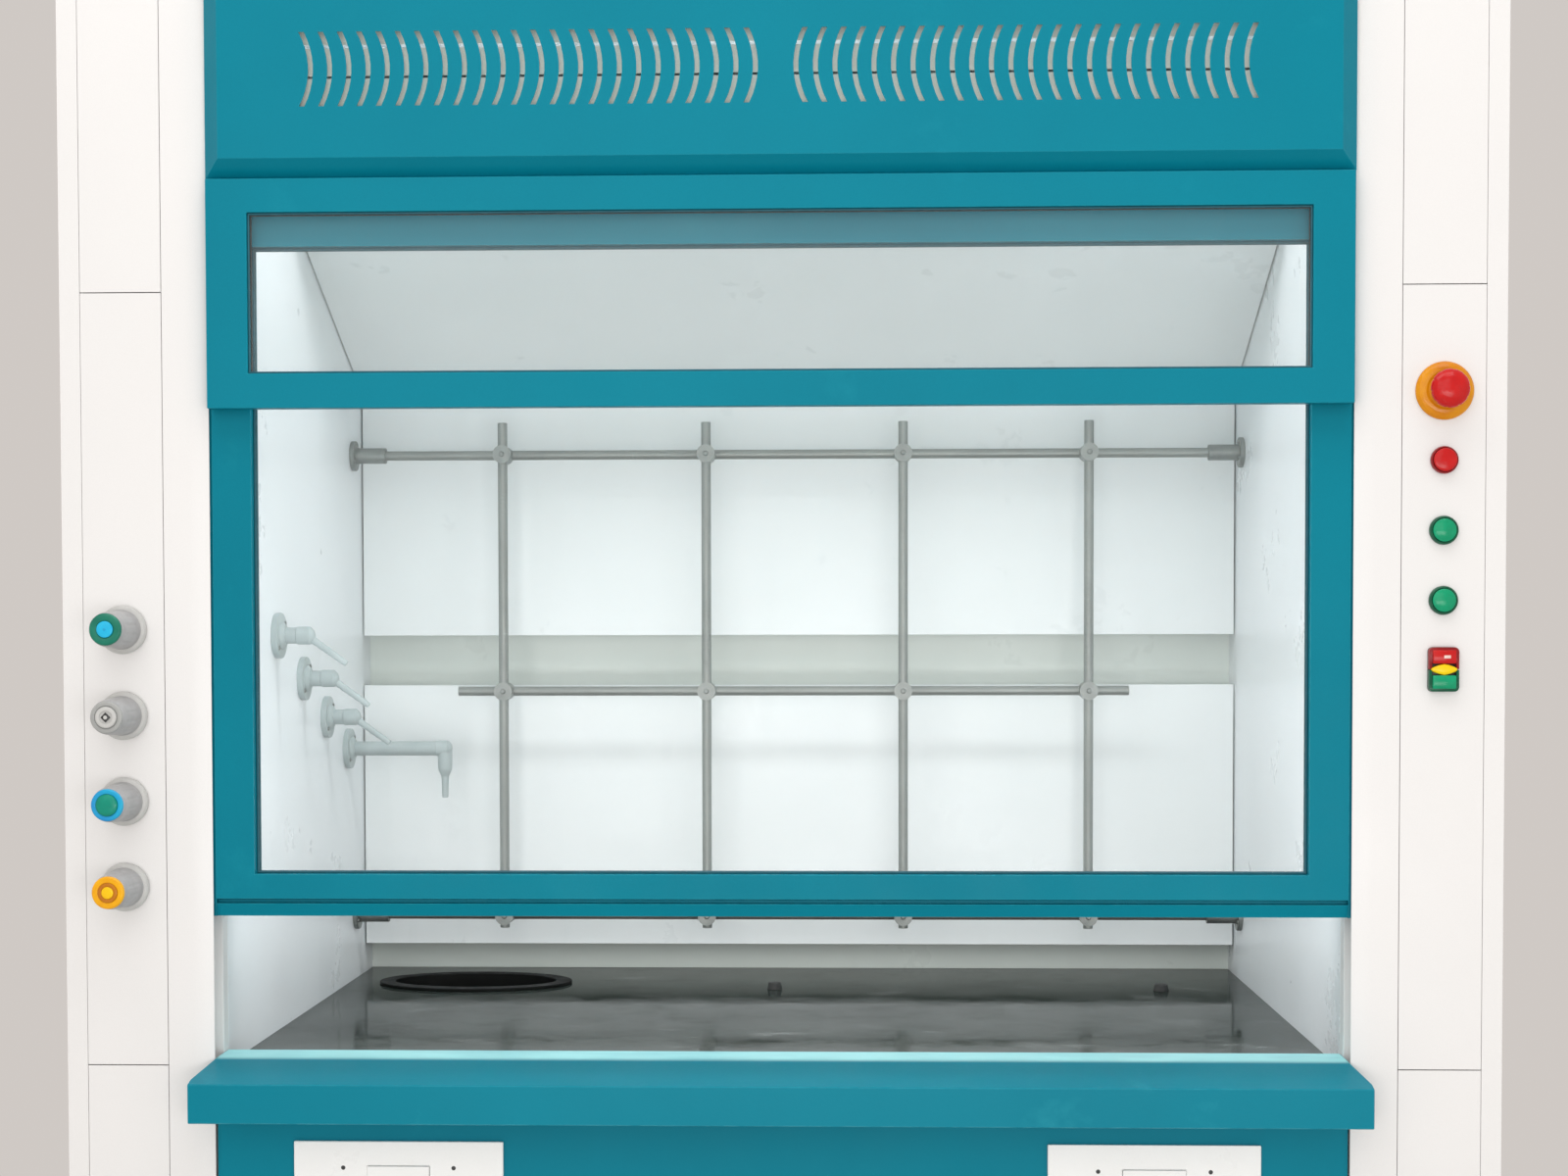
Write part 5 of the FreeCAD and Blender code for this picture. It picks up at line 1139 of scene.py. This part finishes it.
def sink_strainer():
    """Slotted strainer in the sink's drain."""
    low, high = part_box("cup_sink")
    origin = Vector(((low.x + high.x) / 2, (low.y + high.y) / 2, high.z - DRAIN_DEPTH))
    bm = bmesh.new()
    lathe(bm, soften(STRAINER_RIM, 0.3), origin, UP, 48)
    lathe(bm, soften(STRAINER_HUB, 0.3), origin, UP, 32)
    for angle in range(0, 360, 60):
        place = Matrix.Translation(origin) @ Matrix.Rotation(radians(angle), 4, "Z")
        add_turned(bm, (0.003, -0.001, 0.0), (0.0128, 0.001, 0.0015), 0.0003, 2, place)
    piece("sink_strainer", bm, brushed_steel, "hood")


add_fasteners()
outlet_details()
socket_details()
sink_strainer()


# ---- sheet screws on the back ----
def sheet_screws():
    """Cross-head screws along the edges of the back panel."""
    bm = bmesh.new()
    low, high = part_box("back_panel")
    edge = 0.022
    places = [(x, z) for z in (0.14, 0.60, 1.06, 1.52, 1.98, 2.28) for x in (low.x + edge, high.x - edge)]
    places += [(x, high.z - edge) for x in (-0.45, -0.15, 0.15, 0.45)]
    for x, z in places:
        screw_head(bm, Vector((x, high.y - 0.0003, z)), (0, 1, 0), 4.2, 1.6, False)
    piece("back_screws", bm, cast_steel, "hood")


sheet_screws()


# ---- floor, light and camera ----
def make_floor():
    """A round pale floor just under the feet."""
    bm = bmesh.new()
    bmesh.ops.create_circle(bm, cap_ends=True, radius=1.9, segments=96)
    pale_floor = finish("pale_floor", (0.64, 0.62, 0.60), (0.60, 0.58, 0.56), patch=1.2, rough=(0.5, 0.65),
                        grain=(200.0, 0.03), bumps=((60.0, 0.0002),))
    floor = piece("floor", bm, pale_floor, None)
    floor.location = (0, 0, -0.0005)


def area_light(name, place, target, size, power, colour=(1, 1, 1)):
    """A soft rectangular light, aimed at target and unseen by the camera."""
    data = bpy.data.lights.new(name, "AREA")
    data.shape = "RECTANGLE"
    data.size, data.size_y = size
    data.energy = power
    data.color = colour
    light = bpy.data.objects.new(name, data)
    bpy.context.scene.collection.objects.link(light)
    light.location = place
    light.rotation_euler = (Vector(target) - Vector(place)).to_track_quat("-Z", "Y").to_euler()
    light.visible_camera = False
    return light


WORLD_COLOUR = (0.625, 0.585, 0.555, 1.0)


def make_lights():
    """Pale surroundings, six soft studio lights and three weak ones in the work chamber."""
    world = bpy.data.worlds.new("studio")
    bpy.context.scene.world = world
    world.use_nodes = True
    background = world.node_tree.nodes["Background"]
    background.inputs[0].default_value = WORLD_COLOUR
    background.inputs[1].default_value = 1.0
    area_light("key", (-0.5, -3.4, 2.5), (0, 0, 1.35), (3.0, 2.2), 20)
    area_light("low", (0.2, -3.2, 0.85), (0, 0, 0.76), (2.4, 0.8), 25)
    area_light("fill", (2.6, -2.6, 1.2), (0, 0, 1.2), (2.0, 2.0), 3)
    area_light("above", (0.0, -1.2, 3.3), (0, -0.4, 0.9), (2.6, 1.0), 20)
    area_light("rear", (0.0, 3.2, 2.4), (0, 0, 1.3), (3.0, 2.0), 22)
    area_light("left", (-3.2, 0.4, 1.8), (0, 0, 1.2), (2.0, 2.0), 12)
    for name, y, level, size, power, target in (
        ("chamber_top", -0.20, 1.985, (1.0, 0.12), 4.2, (0, -0.10, 1.0)),
        ("chamber_left", -0.345, 1.14, (0.45, 0.45), 1.15, (-0.30, 0.2, 1.14)),
        ("chamber_right", -0.345, 1.14, (0.45, 0.45), 1.15, (0.30, 0.2, 1.14)),
    ):
        light = area_light(name, (target[0], y, level), target, size, power, (0.98, 0.99, 1.0))
        light.visible_glossy = False


CAMERA_PLACE = (0.0828, -2.80515, 1.3035)
CAMERA_DIP, CAMERA_TURN, CAMERA_ROLL = 0.0319, 0.0315, -0.0018      # radians
CAMERA_LENS, CAMERA_SENSOR = 53.3, 36.0
CAMERA_SHIFT = 130.66 / 1600


def make_camera():
    """The camera stands in front of the hood, a little right of its middle, and looks almost level."""
    data = bpy.data.cameras.new("camera")
    data.lens = CAMERA_LENS
    data.sensor_width = CAMERA_SENSOR
    data.shift_y = CAMERA_SHIFT
    camera = bpy.data.objects.new("camera", data)
    bpy.context.scene.collection.objects.link(camera)
    dip, turn, roll = CAMERA_DIP, CAMERA_TURN, CAMERA_ROLL
    ahead = Vector((-sin(turn) * cos(dip), cos(turn) * cos(dip), -sin(dip)))
    right = Vector((cos(turn), sin(turn), 0))
    up = right.cross(ahead)
    tilted_right = right * cos(roll) + up * sin(roll)
    tilted_up = up * cos(roll) - right * sin(roll)
    axes = Matrix((tilted_right, tilted_up, -ahead)).transposed()
    camera.matrix_world = Matrix.Translation(CAMERA_PLACE) @ axes.to_4x4()
    bpy.context.scene.camera = camera


make_floor()
make_lights()
make_camera()
bpy.context.scene.view_settings.view_transform = "Standard"
